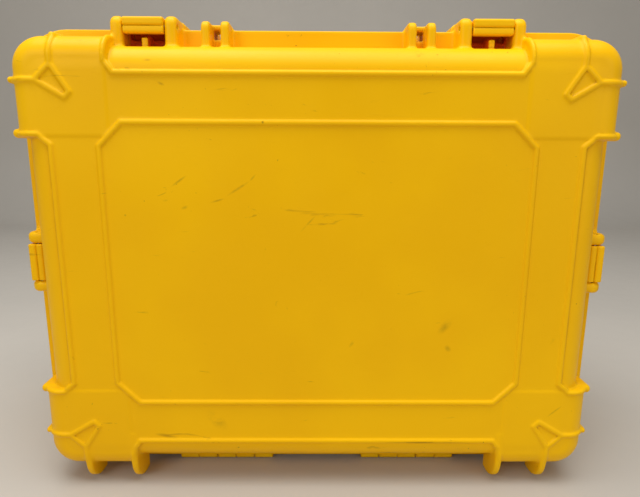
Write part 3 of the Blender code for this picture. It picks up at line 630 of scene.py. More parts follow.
def trim(solid, plane, away, ys):
    """Takes away all that is past the parting plane; away is the way to what stays."""

    def past(x, y, z):
        return away * (y - plane) + 0 * x + 0 * z

    solid.cut(past, full(ys), 0.5 * MM, both=False)


def hollow(solid, face, toward, radius, ys):
    """The space inside a half, open at the parting plane."""
    floor = face - toward * WALL

    def shape(x, y, z):
        outline = rectangle(x, z - CENTRE_Z, CAVITY_W, CAVITY_H, CAVITY_R)
        return meet(outline, toward * (y - floor), radius)

    solid.cut(shape, full(ys), 1.5 * MM, both=False)
    solid.hollows.append(shape)


# ---------------------------------------------------------------- lid


def lid_solid():
    solid = Solid()
    end = PARTING - SEAM
    solid.join(ribbed_tray(FACE, -1, EDGE_R, RECESS_R), full((FACE - 4 * MM, end)), both=False)
    add_flange(solid, PARTING - FLANGE_T, PARTING + 2 * MM)
    notch(solid, SIDE, EAR_IN, (-FLANGE_T - 1 * MM, 3 * MM), 0)
    notch(solid, FRONT, EAR_IN - 0.5 * MM, (-FLANGE_T - 3 * MM, 3 * MM), -10.5 * MM)
    along = (EAR_FRONT, 20 * MM)
    add_ears(solid, FRONT, EAR_IN, EAR_OUT, along, 9 * MM)
    add_ears(solid, SIDE, EAR_IN, EAR_OUT, along, 9 * MM)
    rib_across, rib_along = (-3 * MM, 3 * MM), (-27 * MM, -5 * MM)

    def support(x, y, z):
        """The rib under the lever's bar, with room for the bar to turn."""
        a, b, c = front_frame(x, y, z)
        rib = round_box(a, b, c, rib_across, rib_along, (-40 * MM, -7.6 * MM), 1 * MM)
        return meet(rib, BAR_SWEEP - np.hypot(b - LEVER_PIN_Y, c + LEVER_PIN_BELOW), 0.6 * MM)

    solid.join(support, front_box(rib_across, rib_along, (-24 * MM, -7 * MM)), 1.5 * MM)
    add_lugs(solid, EAR_FRONT, -1)

    front = FACE + 0.6 * MM

    def fin(y, z):
        corner = rectangle(y - front - 60 * MM, z - 60 * MM, 60 * MM, 60 * MM, FIN_R)
        return meet(corner, y - FIN_LID_END, 2 * MM)

    add_fins(solid, FACE + 9 * MM, end, fin, (front, FIN_LID_END))

    trim(solid, end, -1, (end - 1 * MM, PARTING + 30 * MM))
    add_knuckles(solid, (1, 3), (0, 2, 4), -1)
    hollow(solid, FACE, -1, 24 * MM, (FACE + WALL, PARTING + 10 * MM))
    ring_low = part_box("gasket")[0].y - PIN_GAP
    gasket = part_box("gasket")[1]
    mid_w, mid_h = gasket.x - 2.1 * MM, gasket.z - CENTRE_Z - 2.1 * MM

    def groove(x, y, z):
        ring = np.abs(rectangle(x, z - CENTRE_Z, mid_w, mid_h, 36 * MM)) - 2.4 * MM
        return np.maximum(ring, ring_low - y)

    solid.cut(groove, full((ring_low, PARTING)), 0, both=False)
    for latch in (FRONT, SIDE):
        pin_bore(solid, latch)
    return solid


LID_X = mirrored(mm_ticks((0, 6), (84, 1.5), (118, 2.5), (138, 1.5), (313, 0)))
LID_H = mm_ticks((-252.5, 1.5), (-116, 5), (-36, 1.6), (40, 5), (116, 1.5), (254.5, 0))
LID_Y = ticks((FACE - 4.3 * MM, 1.4 * MM), (PARTING + 8 * MM, 0))


def paint_well_shade(obj):
    """Marks the inside of the latch wells, whose colour gets a painted deep shade."""
    co = np.empty(len(obj.data.vertices) * 3, np.float32)
    obj.data.vertices.foreach_get("co", co)
    x, y, z = co.reshape(-1, 3).T
    across = np.abs(np.abs(x) - LATCH_X) - 20.8 * MM
    along = between(y - PARTING, -26.2 * MM, 46 * MM)
    out = between(z - SEAT_Z, -26 * MM, -0.4 * MM)
    depth = np.maximum.reduce([across, along, out])
    set_values(obj.data, "well", ramp(depth + 0.5 * MM, 1.5 * MM))


lid = carved(lid_solid(), (LID_X, LID_Y, CENTRE_Z + LID_H), "case_lid", share=0.45)
paint_well_shade(lid)
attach(lid, "lid")
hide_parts("lid_shell")
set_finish(lid, "case_plastic")

# ---------------------------------------------------------------- base


def base_solid():
    solid = Solid()
    start = PARTING + SEAM
    solid.join(ribbed_tray(BACK, 1, BACK_R, BACK_R), full((start, BACK + 4 * MM)), both=False)
    add_flange(solid, PARTING - 2 * MM, PARTING + FLANGE_T)
    notch(solid, SIDE, 23 * MM, (-3 * MM, FLANGE_T + 1 * MM), 0)
    add_ears(solid, FRONT, EAR_IN, EAR_OUT + 1 * MM, (-20 * MM, 42 * MM), 4 * MM, 32 * MM)
    add_ears(solid, SIDE, 23 * MM, EAR_OUT + 1 * MM, (-20 * MM, 25 * MM), 4 * MM, 15 * MM)
    add_lugs(solid, 33 * MM, 1)

    inner, outer = 76 * MM, 84 * MM

    def handle_lug(x, y, z):
        ear = np.hypot(y - HANDLE_PIN.y, z - HANDLE_PIN.z) - 8 * MM
        root = rectangle(y - HANDLE_PIN.y, z - HANDLE_PIN.z + 20 * MM, 15.5 * MM, 22 * MM, 2 * MM)
        return meet(join(ear, root, 2 * MM), between(x, inner, outer), 1.6 * MM)

    ys = (HANDLE_PIN.y - 18 * MM, HANDLE_PIN.y + 18 * MM)
    solid.join(handle_lug, ((inner, outer), ys, (CENTRE_Z + 0.215, HANDLE_PIN.z + 8 * MM)), 2 * MM)

    def fin(y, z):
        back = BACK - 2 * MM
        corner = rectangle(y - back + 60 * MM, z - 60 * MM, 60 * MM, 60 * MM, FIN_R)
        longer = rectangle(y - (PARTING + BACK) / 2, z - 60 * MM, 0.3, 60 * MM, 0)
        whole = np.where(y > back - 60 * MM, corner, longer)
        return meet(whole, FIN_BASE_START - y, 2 * MM)

    add_fins(solid, start, BACK - 14 * MM, fin, (FIN_BASE_START, BACK - 2 * MM))

    pad_x, pad_h, pad_ys = 215 * MM, 165 * MM, (BACK - 4 * MM, BACK + 2 * MM)

    def pad(x, y, z):
        """The low pads on the back that the case lies on."""
        outline = rectangle(x - pad_x, np.abs(z - CENTRE_Z) - pad_h, 34 * MM, 22 * MM, 10 * MM)
        return meet(outline, between(y, *pad_ys), 1.2 * MM)

    for z in (CENTRE_Z - pad_h, CENTRE_Z + pad_h):
        solid.join(pad, ((0.18, 0.25), pad_ys, (z - 23 * MM, z + 23 * MM)), 1 * MM)

    trim(solid, start, 1, (PARTING - 30 * MM, start + 1 * MM))
    add_knuckles(solid, (0, 2, 4), (1, 3), 1)
    hollow(solid, BACK, 1, 18 * MM, (PARTING - 10 * MM, BACK - WALL))

    def handle_bore(x, y, z):
        hole = np.hypot(y - HANDLE_PIN.y, z - HANDLE_PIN.z) - 3 * MM - PIN_GAP
        return np.maximum(hole, between(x, 60 * MM, outer - 2 * MM))

    ys = (HANDLE_PIN.y - 4 * MM, HANDLE_PIN.y + 4 * MM)
    zs = (HANDLE_PIN.z - 4 * MM, HANDLE_PIN.z + 4 * MM)
    solid.cut(handle_bore, ((70 * MM, outer), ys, zs))

    def valve_bore(x, y, z):
        return np.maximum(np.hypot(x, y - VALVE.y) - 6.3 * MM, CENTRE_Z + 0.2 - z)

    ys, zs = (VALVE.y - 8 * MM, VALVE.y + 8 * MM), (CENTRE_Z + 0.21, CENTRE_Z + 0.23)
    solid.cut(valve_bore, ((-8 * MM, 8 * MM), ys, zs), both=False)
    return solid


BASE_X = mirrored(mm_ticks((0, 1.5), (10.5, 5), (70, 1.7), (118, 2.5), (138, 1.7), (313, 0)))
BASE_H = mm_ticks((-252.5, 1.7), (-116, 5), (-36, 1.8), (40, 5), (116, 1.7), (254.5, 0))
BASE_Y = ticks(
    (PARTING - 8 * MM, 1.6 * MM),
    (PARTING + 46 * MM, 4 * MM),
    (VALVE.y - 10 * MM, 2 * MM),
    (VALVE.y + 10 * MM, 4 * MM),
    (BACK - 34 * MM, 1.8 * MM),
    (BACK + 4 * MM, 0),
)
base = carved(base_solid(), (BASE_X, BASE_Y, CENTRE_Z + BASE_H), "case_base", share=0.4)
paint_well_shade(base)
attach(base, "base")
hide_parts("base_shell")
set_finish(base, "case_plastic")

# ---------------------------------------------------------------- latches

RIDGE_PITCH, PRESS_PITCH = 3.2 * MM, 2.6 * MM
TRIGGER_OUTLINE = ((10.2, 0.9), (36, 1.6), (37, 4), (36, 7.4), (23.8, 7.4))
TRIGGER_OUTLINE += ((23.2, 5.5), (20.2, 5.7), (17, 3.4), (10.2, 3.4))
LATCHES = {
    "front_left": (Vector((-LATCH_X, PARTING, SEAT_Z)), 0),
    "front_right": (Vector((LATCH_X, PARTING, SEAT_Z)), 0),
    "side_left": (Vector((-SIDE_SEAT_X, PARTING, SIDE_LATCH_Z)), -90),
    "side_right": (Vector((SIDE_SEAT_X, PARTING, SIDE_LATCH_Z)), 90),
}


def lever_solid():
    """In a latch's own frame: x across, y into the base, z out of the wall."""
    solid = Solid()
    whole = ((-21 * MM, 21 * MM), (-33 * MM, 41 * MM), (-9 * MM, 11 * MM))

    def plate(x, y, z):
        crown = 0.8 * MM * (x / LEVER_HALF) ** 2
        section = rectangle(y - 6.5 * MM, z - 4.6 * MM + crown, 31.5 * MM, 3.4 * MM, 2.2 * MM)
        return meet(section, np.abs(x) - LEVER_HALF, 2 * MM)

    def rails(x, y, z):
        xs, ys, zs = (15.6 * MM, LEVER_HALF), (-14 * MM, LEVER_END), (3 * MM, 8.9 * MM)
        return round_box(np.abs(x), y, z, xs, ys, zs, 1.6 * MM)

    def bar(x, y, z):
        """The bar round the pin: an upper and a lower roll with a groove between them."""
        upper = rectangle(y - LEVER_PIN_Y + 2.1 * MM, z - 3.6 * MM, 4.6 * MM, 4.0 * MM, 2.4 * MM)
        lower = rectangle(y - LEVER_PIN_Y + 1.8 * MM, z + 4.0 * MM, 4.4 * MM, 3.4 * MM, 2.2 * MM)
        core = np.hypot(y - LEVER_PIN_Y, z + LEVER_PIN_BELOW) - CORE_R
        section = np.minimum(join(upper, lower, 0.4 * MM), core)
        return meet(section, np.abs(x) - LEVER_HALF, 1.2 * MM)

    def grip_ridges(x, y, z):
        wave = np.abs((y / RIDGE_PITCH) % 1 - 0.5) * RIDGE_PITCH
        lines = np.hypot(wave, z - 9.4 * MM) - 1.1 * MM
        return np.maximum(lines, np.abs(x) - 14 * MM) + 0 * y

    solid.join(plate, whole)
    solid.join(rails, whole, 1 * MM)
    solid.join(bar, whole, 0.8 * MM)
    solid.cut(grip_ridges, ((-14 * MM, 14 * MM), (-8 * MM, 18 * MM), (7 * MM, 11 * MM)), 0.4 * MM)

    def pin_hole(x, y, z):
        return np.hypot(y - LEVER_PIN_Y, z + LEVER_PIN_BELOW) - LEVER_BORE_R + 0 * x

    press_room = (-11.8 * MM, 11.8 * MM)

    def recess(x, y, z):
        ys, zs = (9 * MM, 60 * MM), (-8 * MM, 6.4 * MM)
        return round_box(x, y, z, press_room, ys, zs, 0.6 * MM)

    def window(x, y, z):
        ys, zs = (23 * MM, 60 * MM), (3 * MM, 30 * MM)
        return round_box(x, y, z, press_room, ys, zs, 0.6 * MM)

    def trigger_hole(x, y, z):
        hole = np.hypot(y - TRIGGER_PIN_Y, z - TRIGGER_PIN_Z) - 1.4 * MM
        return np.maximum(hole, np.abs(x) - 19.3 * MM)

    solid.cut(pin_hole, whole)
    solid.cut(recess, whole, 0.5 * MM)
    solid.cut(window, whole, 0.8 * MM)
    solid.cut(trigger_hole, whole)
    return solid


def trigger_solid():
    """The sprung press in the lever's end, in the same frame as the lever."""
    solid = Solid()
    whole = ((-12 * MM, 12 * MM), (9 * MM, 40 * MM), (0, 9 * MM))
    outline = in_mm(TRIGGER_OUTLINE)

    def body(x, y, z):
        return meet(polygon(y, z, outline) + 0.1 * MM, np.abs(x) - 11.2 * MM, 0.7 * MM)

    def ridges(x, y, z):
        wave = np.abs((y / PRESS_PITCH) % 1 - 0.5) * PRESS_PITCH
        return np.maximum(np.hypot(wave, z - 7.5 * MM) - 0.7 * MM, np.abs(x) - 9 * MM)

    def hole(x, y, z):
        return np.hypot(y - TRIGGER_PIN_Y, z - TRIGGER_PIN_Z) - 1.3 * MM + 0 * x

    solid.join(body, whole)
    solid.cut(ridges, whole, 0.3 * MM)
    solid.cut(hole, whole)
    return solid


lever_axes = (
    mirrored(mm_ticks((0, 0.8), (20.5, 0))),
    mm_ticks((-32.5, 0.7), (40, 0)),
    mm_ticks((-8.4, 0.6), (10.4, 0)),
)
trigger_axes = (
    mirrored(mm_ticks((0, 0.7), (12, 0))),
    mm_ticks((9, 0.5), (38.5, 0)),
    mm_ticks((0, 0.5), (8.5, 0)),
)
lever_master = carved(lever_solid(), lever_axes, "lever_master", share=0.5)
trigger_master = carved(trigger_solid(), trigger_axes, "trigger_master", share=0.6)


def placed_copy(master, name, place):
    obj = master.copy()
    obj.data = master.data.copy()
    obj.name = name
    obj.data.transform(place)
    bpy.context.scene.collection.objects.link(obj)
    return obj


levers, triggers = [], []
for name, (seat, turn) in LATCHES.items():
    place = Matrix.Translation(seat) @ Matrix.Rotation(math.radians(turn), 4, "Y")
    lever = placed_copy(lever_master, "lever_" + name, place)
    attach(lever, "latch_" + name)
    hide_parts("latch_lever_" + name)
    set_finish(lever, "latch_plastic")
    levers.append(lever)
    press = placed_copy(trigger_master, "press_" + name, place)
    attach(press, "trigger_" + name)
    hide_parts("latch_trigger_" + name)
    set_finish(press, "latch_plastic")
    triggers.append(press)
for master in (lever_master, trigger_master):
    bpy.data.objects.remove(master)

# ---------------------------------------------------------------- handle


def handle_solid():
    """Two tapering arms and the bar that the grip is moulded on."""
    solid = Solid()
    low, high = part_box("handle_frame")
    whole = node_box("handle_frame")
    arm_in = 66 * MM

    def arm(x, y, z):
        middle_y, half_y = (low.y + high.y) / 2, (high.y - low.y) / 2
        section = rectangle(y - middle_y, z - HANDLE_PIN.z, half_y, 6.9 * MM, 6 * MM)
        taper = 0.8 * MM * np.clip((y - HANDLE_PIN.y) / (high.y - HANDLE_PIN.y), 0, 1)
        return meet(section + taper, between(x, arm_in, high.x), 2.2 * MM)

    def bar(x, y, z):
        section = rectangle(y - GRIP.y, z - HANDLE_PIN.z, 5.3 * MM, 5.7 * MM, 2 * MM)
        return np.maximum(section, np.abs(x) - 70 * MM)

    def hole(x, y, z):
        bore = np.hypot(y - HANDLE_PIN.y, z - HANDLE_PIN.z) - 3.3 * MM
        return np.maximum(bore, 60 * MM - x)

    solid.join(arm, whole)
    solid.join(bar, whole, 3 * MM)
    solid.cut(hole, whole, 0.4 * MM)
    return solid


def grip_solid():
    """The soft grip, with shallow hollows for the fingers."""
    solid = Solid()
    whole = node_box("handle_grip")
    end, finger = whole[0][1], 17 * MM

    def body(x, y, z):
        swell = 0.5 * MM * (1 - np.cos(2 * math.pi * x / finger)) / 2
        section = rectangle(y - GRIP.y, z - GRIP.z, 11.9 * MM, 9.9 * MM, 8 * MM)
        return meet(section + swell, np.abs(x) - end, 3 * MM)

    def hole(x, y, z):
        return rectangle(y - GRIP.y, z - GRIP.z, 5.8 * MM, 6.3 * MM, 1 * MM) + 0 * x

    solid.join(body, whole)
    solid.cut(hole, whole, 0.3 * MM)
    return solid


handle_axes = (
    mirrored(mm_ticks((0, 4), (60, 0.9), (77, 0))),
    box_ticks("handle_frame", 1, 1 * MM, 0.9 * MM),
    box_ticks("handle_frame", 2, 1 * MM, 0.9 * MM),
)
handle = carved(handle_solid(), handle_axes, "carry_handle", share=0.5)
grip_axes = (
    mirrored(mm_ticks((0, 1.2), (48, 0.8), (53, 0))),
    box_ticks("handle_grip", 1, 1 * MM, 0.9 * MM),
    box_ticks("handle_grip", 2, 1 * MM, 0.9 * MM),
)
grip = carved(grip_solid(), grip_axes, "carry_grip", share=0.5)
for piece, node, slot in (
    (handle, "handle_frame", "case_plastic"),
    (grip, "handle_grip", "black_rubber"),
):
    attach(piece, "handle")
    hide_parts(node)
    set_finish(piece, slot)

# ---------------------------------------------------------------- foam


def softened(node, name, body, rounding, slot, segments=3, sharp=40):
    """A piece with its CAD solid's shape, welded, smoothly shaded and rounded at its edges."""
    mesh = frame["nodes"][node].data.copy()
    bm = bmesh.new()
    bm.from_mesh(mesh)
    bmesh.ops.remove_doubles(bm, verts=bm.verts, dist=0.01 * MM)
    bmesh.ops.dissolve_limit(bm, angle_limit=math.radians(1), verts=bm.verts, edges=bm.edges)
    bm.to_mesh(mesh)
    bm.free()
    mesh.shade_smooth()
    mesh.set_sharp_from_angle(angle=math.radians(sharp))
    obj = bpy.data.objects.new(name, mesh)
    bpy.context.scene.collection.objects.link(obj)
    soft = obj.modifiers.new("soft edges", "BEVEL")
    soft.width = rounding
    soft.segments = segments
    soft.limit_method = "ANGLE"
    soft.angle_limit = math.radians(sharp)
    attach(obj, body)
    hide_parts(node)
    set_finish(obj, slot)
    return obj


def egg_crate():
    """The lid's foam: rounded to the lid behind, with rows of soft bumps towards the base."""
    solid = Solid()
    low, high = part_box("lid_foam")
    half_w, half_h, pitch = (high.x - low.x) / 2, (high.z - low.z) / 2, 34 * MM

    def shape(x, y, z):
        h = z - CENTRE_Z
        outline = rectangle(x, h, half_w, half_h, 24 * MM)
        wave = np.cos(2 * math.pi * x / pitch) * np.cos(2 * math.pi * h / pitch)
        crest = y - (high.y - 5 * MM * (1 - wave))
        return meet(meet(outline, low.y - y, 22 * MM), crest, 3 * MM)

    solid.join(shape, node_box("lid_foam"), both=False)
    return solid


foam_axes = (
    box_ticks("lid_foam", 0, 4 * MM, 3.5 * MM),
    box_ticks("lid_foam", 1, 2.5 * MM, 2 * MM),
    box_ticks("lid_foam", 2, 4 * MM, 3.5 * MM),
)
lid_foam = carved(egg_crate(), foam_axes, "lid_convoluted_foam")
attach(lid_foam, "lid")
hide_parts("lid_foam")
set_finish(lid_foam, "foam")

foams = [
    lid_foam,
    softened("base_foam_block", "pocketed_foam", "base", 1.6 * MM, "foam"),
    softened("base_foam_floor", "floor_foam", "base", 3 * MM, "foam"),
]

# ---------------------------------------------------------------- valve, pins, seals and springs


def valve_solid():
    """A knurled cap with a vent hole, and its stem down through the wall."""
    solid = Solid()
    top = CENTRE_Z + TOP_WALL
    low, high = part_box("valve_cap")
    radius = (high.x - low.x) / 2

    def cap(x, y, z):
        u, v = x - VALVE.x, y - VALVE.y
        away = np.hypot(u, v)
        knurl = 0.35 * MM * (1 + np.cos(24 * np.arctan2(v, u)))
        disc = meet(away - radius + knurl, between(z, top + 2 * MM, high.z - 0.8 * MM), 1 * MM)
        dome = meet(away - radius + 3.5 * MM, between(z, top + 2 * MM, high.z), 0.8 * MM)
        stem = np.maximum(away - 6 * MM, between(z, low.z, top + 3 * MM))
        return np.minimum(np.minimum(disc, dome), stem)

    def vent(x, y, z):
        slot = rectangle(x - VALVE.x, z - high.z, 6 * MM, 1.1 * MM, 0.4 * MM)
        slot = np.maximum(slot, np.abs(y - VALVE.y) - 1 * MM)
        return np.minimum(np.hypot(x - VALVE.x, y - VALVE.y) - 2.5 * MM + 0 * z, slot)

    whole = node_box("valve_cap")
    solid.join(cap, whole, both=False)
    solid.cut(vent, whole, 0.3 * MM, both=False)
    return solid


valve_axes = tuple(box_ticks("valve_cap", axis, 1 * MM, 0.55 * MM) for axis in range(3))
valve = carved(valve_solid(), valve_axes, "pressure_valve", share=0.6)
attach(valve, "base")
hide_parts("valve_cap")
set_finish(valve, "dark_plastic")

BODY_OF = {n: b for b, nodes in frame["record"]["behaviour"]["bodies"].items() for n in nodes}
SLOT_OF = {part["node"]: part["material_slot"] for part in frame["record"]["subparts"]}
ROUNDING = {
    "hinge_pin": 0.8 * MM,
    "latch_pin": 0.6 * MM,
    "trigger_pin": 0.3 * MM,
    "handle_pin": 0.8 * MM,
    "trigger_spring": 0.12 * MM,
    "gasket": 1.2 * MM,
    "valve_seal": 0.4 * MM,
    "valve_nut": 0.6 * MM,
    "valve_membrane": 0.1 * MM,
}
fittings = [
    softened(node, "fine_" + node, BODY_OF[node], rounding, SLOT_OF[node], segments=2)
    for start, rounding in ROUNDING.items()
    for node in sorted(frame["nodes"])
    if node.startswith(start)
]

# ---------------------------------------------------------------- materials


class Nodes:
    """A small helper for building a material's node tree."""

    def __init__(self, name):
        self.material = bpy.data.materials.new(name)
        self.material.use_nodes = True
        self.tree = self.material.node_tree
        self.shader = self.tree.nodes["Principled BSDF"]
        self.place = self.tree.nodes.new("ShaderNodeTexCoord").outputs["Object"]

    def link(self, value, socket):
        if isinstance(value, bpy.types.NodeSocket):
            self.tree.links.new(value, socket)
        else:
            socket.default_value = value

    def node(self, kind, **sockets):
        node = self.tree.nodes.new("ShaderNode" + kind)
        for name, value in sockets.items():
            self.link(value, node.inputs[name.replace("_", " ")])
        return node

    def math(self, operation, a, b=0.0, clamp=False):
        node = self.tree.nodes.new("ShaderNodeMath")
        node.operation = operation
        node.use_clamp = clamp
        self.link(a, node.inputs[0])
        self.link(b, node.inputs[1])
        return node.outputs[0]

    def noise(self, scale, detail=4.0, rough=0.5, stretch=(1, 1, 1), shift=(0, 0, 0), distortion=0.0):
        mapping = self.node("Mapping", Vector=self.place, Scale=stretch, Location=shift)
        node = self.node(
            "TexNoise",
            Vector=mapping.outputs[0],
            Scale=scale,
            Detail=detail,
            Roughness=rough,
            Distortion=distortion,
        )
        return node.outputs["Fac"]

    def range(self, value, low, high, out_low=0.0, out_high=1.0, smooth=True):
        node = self.tree.nodes.new("ShaderNodeMapRange")
        node.interpolation_type = "SMOOTHSTEP" if smooth else "LINEAR"
        for i, v in enumerate((value, low, high, out_low, out_high)):
            self.link(v, node.inputs[i])
        return node.outputs[0]

    def mix(self, share, a, b):
        node = self.tree.nodes.new("ShaderNodeMix")
        node.data_type = "RGBA"
        self.link(share, node.inputs[0])
        self.link(a, node.inputs[6])
        self.link(b, node.inputs[7])
        return node.outputs[2]

    def attribute(self, name):
        node = self.tree.nodes.new("ShaderNodeAttribute")
        node.attribute_name = name
        return node.outputs["Fac"]

    def bump(self, height, distance, strength=1.0, normal=None):
        node = self.node("Bump", Height=height, Distance=distance, Strength=strength)
        if normal is not None:
            self.link(normal, node.inputs["Normal"])
        return node.outputs[0]

    def spot(self, centre, size, tilt=0.0):
        """1 at a place on the case's front, falling to 0 at an ellipse of that half size."""
        turned = self.node("Mapping", Vector=self.place, Location=[-c for c in centre])
        mapping = self.node("Mapping", Vector=turned.outputs[0], Rotation=(0, tilt, 0))
        mapping.vector_type = "TEXTURE"
        scaled = self.node("Mapping", Vector=mapping.outputs[0], Scale=[1 / s for s in size])
        length = self.node("VectorMath", Vector=scaled.outputs[0])
        length.operation = "LENGTH"
        return self.range(length.outputs["Value"], 1.0, 0.0)


def rgb(*values):
    """A colour given as shown on screen, from 0 to 255, turned to linear light."""
    light = (((v / 255 + 0.055) / 1.055) ** 2.4 if v > 10 else v / 255 / 12.92 for v in values)
    return (*light, 1)


def yellow_plastic(name, scuffs):
    """Moulded yellow plastic with a fine grain, uneven tint, scuffs and dirt, painted shade in its
    crevices and latch wells, and a painted highlight on its rubbed edges.
    """
    n = Nodes(name)
    tint = n.range(n.noise(5, 3), 0.35, 0.65)
    colour = n.mix(tint, rgb(244, 184, 0), rgb(250, 192, 0))
    # crevice darkening: partly dirt, partly painted shade in the creases and at the roots of ribs
    crevice = n.range(n.attribute("crevice"), 0.12, 0.75)
    grime_and_shade = n.math("MULTIPLY", crevice, n.range(n.noise(45, 5, 0.6), 0.3, 0.7, 0.25, 1.0))
    colour = n.mix(n.math("MULTIPLY", grime_and_shade, 0.5), colour, rgb(140, 62, 0))
    # lighter edges: partly rubbed wear, partly a painted highlight where the rounded edges catch the
    # light
    rub_and_highlight_noise = n.range(n.noise(60, 4), 0.3, 0.6, 0.3, 1)
    wear_and_highlight = n.math("MULTIPLY", n.range(n.attribute("edge"), 0.3, 0.9), rub_and_highlight_noise)
    colour = n.mix(n.math("MULTIPLY", wear_and_highlight, 0.6), colour, rgb(255, 216, 20))
    # painted shade: the inside of the latch wells is tinted dark red-orange to stand for the deep
    # shadow in them
    colour = n.mix(n.math("MULTIPLY", n.attribute("well"), 0.85), colour, rgb(226, 66, 0))
    specks = n.range(n.noise(210, 3, 0.6), 0.69, 0.75)
    patches = n.range(n.noise(9, 4, 0.6, shift=(3, 0, 1)), 0.46, 0.62)
    marks = n.math("MULTIPLY", specks, patches)
    streaks = n.noise(26, 4, 0.6, stretch=(0.5, 1, 2.2), shift=(5, 2, 0), distortion=1.5)
    streaks = n.range(streaks, 0.66, 0.74)
    marks = n.math("MAXIMUM", marks, n.math("MULTIPLY", streaks, 0.5))
    if scuffs:
        texture = n.range(n.noise(70, 6, 0.65, stretch=(0.6, 1, 1)), 0.3, 0.62)
        for centre, size, slope, strength in SCUFFS:
            place = (centre[0] * MM, FACE, CENTRE_Z + centre[1] * MM)
            shape = n.spot(place, (size[0] * MM, 30 * MM, size[1] * MM), math.radians(-slope))
            one = n.math("MULTIPLY", n.math("MULTIPLY", shape, texture), strength)
            marks = n.math("MAXIMUM", marks, one)
    colour = n.mix(n.math("MULTIPLY", marks, 0.6, clamp=True), colour, rgb(112, 74, 18))
    n.link(colour, n.shader.inputs["Base Color"])
    rough = n.range(n.noise(14, 5), 0.3, 0.7, 0.36, 0.48)
    rough = n.math("ADD", rough, n.math("MULTIPLY", marks, 0.2))
    rough = n.math("ADD", rough, n.math("MULTIPLY", grime_and_shade, 0.12), clamp=True)
    n.link(rough, n.shader.inputs["Roughness"])
    grain = n.bump(n.noise(1500, 2), 0.05 * MM, 0.35)
    scratch = n.noise(60, 3, 0.6, stretch=(1, 1, 14), shift=(0, 4, 2))
    scratch = n.math("ADD", n.range(scratch, 0.66, 0.7), n.math("MULTIPLY", marks, 0.4))
    normal = n.bump(scratch, 0.12 * MM, 0.4, normal=grain)
    n.link(n.bump(n.noise(4, 2), 3 * MM, 0.12, normal=normal), n.shader.inputs["Normal"])
    n.shader.inputs["Specular IOR Level"].default_value = 0.12
    return n.material


# Scuffs on the lid's face: (x, height) of the middle, half length and half width, slope in
# degrees, strength.
SCUFFS = (
    ((-139, 91), (12, 1.7), 35, 0.8),
    ((-80, 84), (17, 1.8), 33, 0.9),
    ((-101, 72), (10, 1.5), 16, 0.6),
    ((-65, 95), (6, 1.5), 48, 0.6),
    ((-153, 72), (4, 1.6), 8, 0.5),
    ((-134, 65), (5, 2.5), 21, 0.5),
    ((-194, 57), (1.6, 1.6), 0, 1.0),
    ((-10, 49), (14, 1.4), 47, 0.6),
    ((37, -79), (7, 2.5), 57, 0.6),
    ((135, -60), (13, 6), 51, 0.6),
    ((139, -85), (6, 4), -49, 0.5),
    ((251, -75), (7, 3), 61, 0.6),
    ((260, -158), (13, 1.5), 41, 0.6),
    ((-110, -169), (18, 9), -49, 0.7),
    ((-166, -188), (16, 3), -9, 0.8),
    ((-164, 206), (6, 2), 0, 0.7),
    ((-151, 184), (5, 2), -23, 0.6),
    ((120, -195), (58, 2), 0, 1.0),
)


def brushed_steel():
    n = Nodes("brushed_steel")
    streaks = n.noise(260, 4, 0.6, stretch=(0.08, 1, 1))
    colour = n.mix(streaks, rgb(150, 150, 148), rgb(196, 195, 190))
    n.link(colour, n.shader.inputs["Base Color"])
    n.link(n.range(streaks, 0.3, 0.7, 0.24, 0.42), n.shader.inputs["Roughness"])
    n.link(n.bump(streaks, 0.02 * MM, 0.5), n.shader.inputs["Normal"])
    n.shader.inputs["Metallic"].default_value = 1.0
    return n.material


def soft_rubber():
    n = Nodes("soft_rubber")
    dust = n.range(n.noise(70, 5, 0.6), 0.45, 0.75)
    colour = n.mix(n.math("MULTIPLY", dust, 0.5), rgb(30, 29, 28), rgb(78, 73, 66))
    n.link(colour, n.shader.inputs["Base Color"])
    n.link(n.range(dust, 0, 1, 0.62, 0.85), n.shader.inputs["Roughness"])
    n.link(n.bump(n.noise(1200, 3), 0.06 * MM, 0.6), n.shader.inputs["Normal"])
    return n.material


def dark_plastic():
    n = Nodes("moulded_black")
    cloud = n.noise(40, 4)
    n.link(n.mix(cloud, rgb(26, 26, 27), rgb(44, 43, 42)), n.shader.inputs["Base Color"])
    n.link(n.range(cloud, 0.3, 0.7, 0.38, 0.55), n.shader.inputs["Roughness"])
    n.link(n.bump(n.noise(1400, 2), 0.04 * MM, 0.5), n.shader.inputs["Normal"])
    return n.material


def open_cell_foam():
    n = Nodes("open_cell_foam")
    cells = n.node("TexVoronoi", Vector=n.place, Scale=420.0).outputs["Distance"]
    fine = n.noise(900, 3, 0.7)
    colour = n.mix(n.range(cells, 0.15, 0.7), rgb(38, 38, 40), rgb(78, 78, 81))
    n.link(colour, n.shader.inputs["Base Color"])
    n.link(n.range(fine, 0.3, 0.7, 0.88, 1.0), n.shader.inputs["Roughness"])
    pores = n.bump(cells, 0.6 * MM, 0.7)
    n.link(n.bump(n.noise(60, 3), 1.2 * MM, 0.3, normal=pores), n.shader.inputs["Normal"])
    n.shader.inputs["Specular IOR Level"].default_value = 0.15
    n.shader.inputs["Sheen Weight"].default_value = 0.25
    return n.material


def paint(obj, material):
    obj.data.materials.clear()
    obj.data.materials.append(material)


shell_plastic = yellow_plastic("case_yellow", scuffs=True)
latch_plastic = yellow_plastic("latch_yellow", scuffs=False)
steel, rubber, black, foam_look = brushed_steel(), soft_rubber(), dark_plastic(), open_cell_foam()

for obj in (lid, base):
    paint(obj, shell_plastic)
for obj in (*levers, *triggers, handle):
    paint(obj, latch_plastic)
paint(grip, rubber)
for obj in foams:
    paint(obj, foam_look)

paint(valve, black)
LOOKS = {"steel": steel, "black_rubber": rubber, "dark_plastic": black}
for obj in fittings:
    paint(obj, LOOKS[obj["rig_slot"]])

# ---------------------------------------------------------------- floor, light, camera


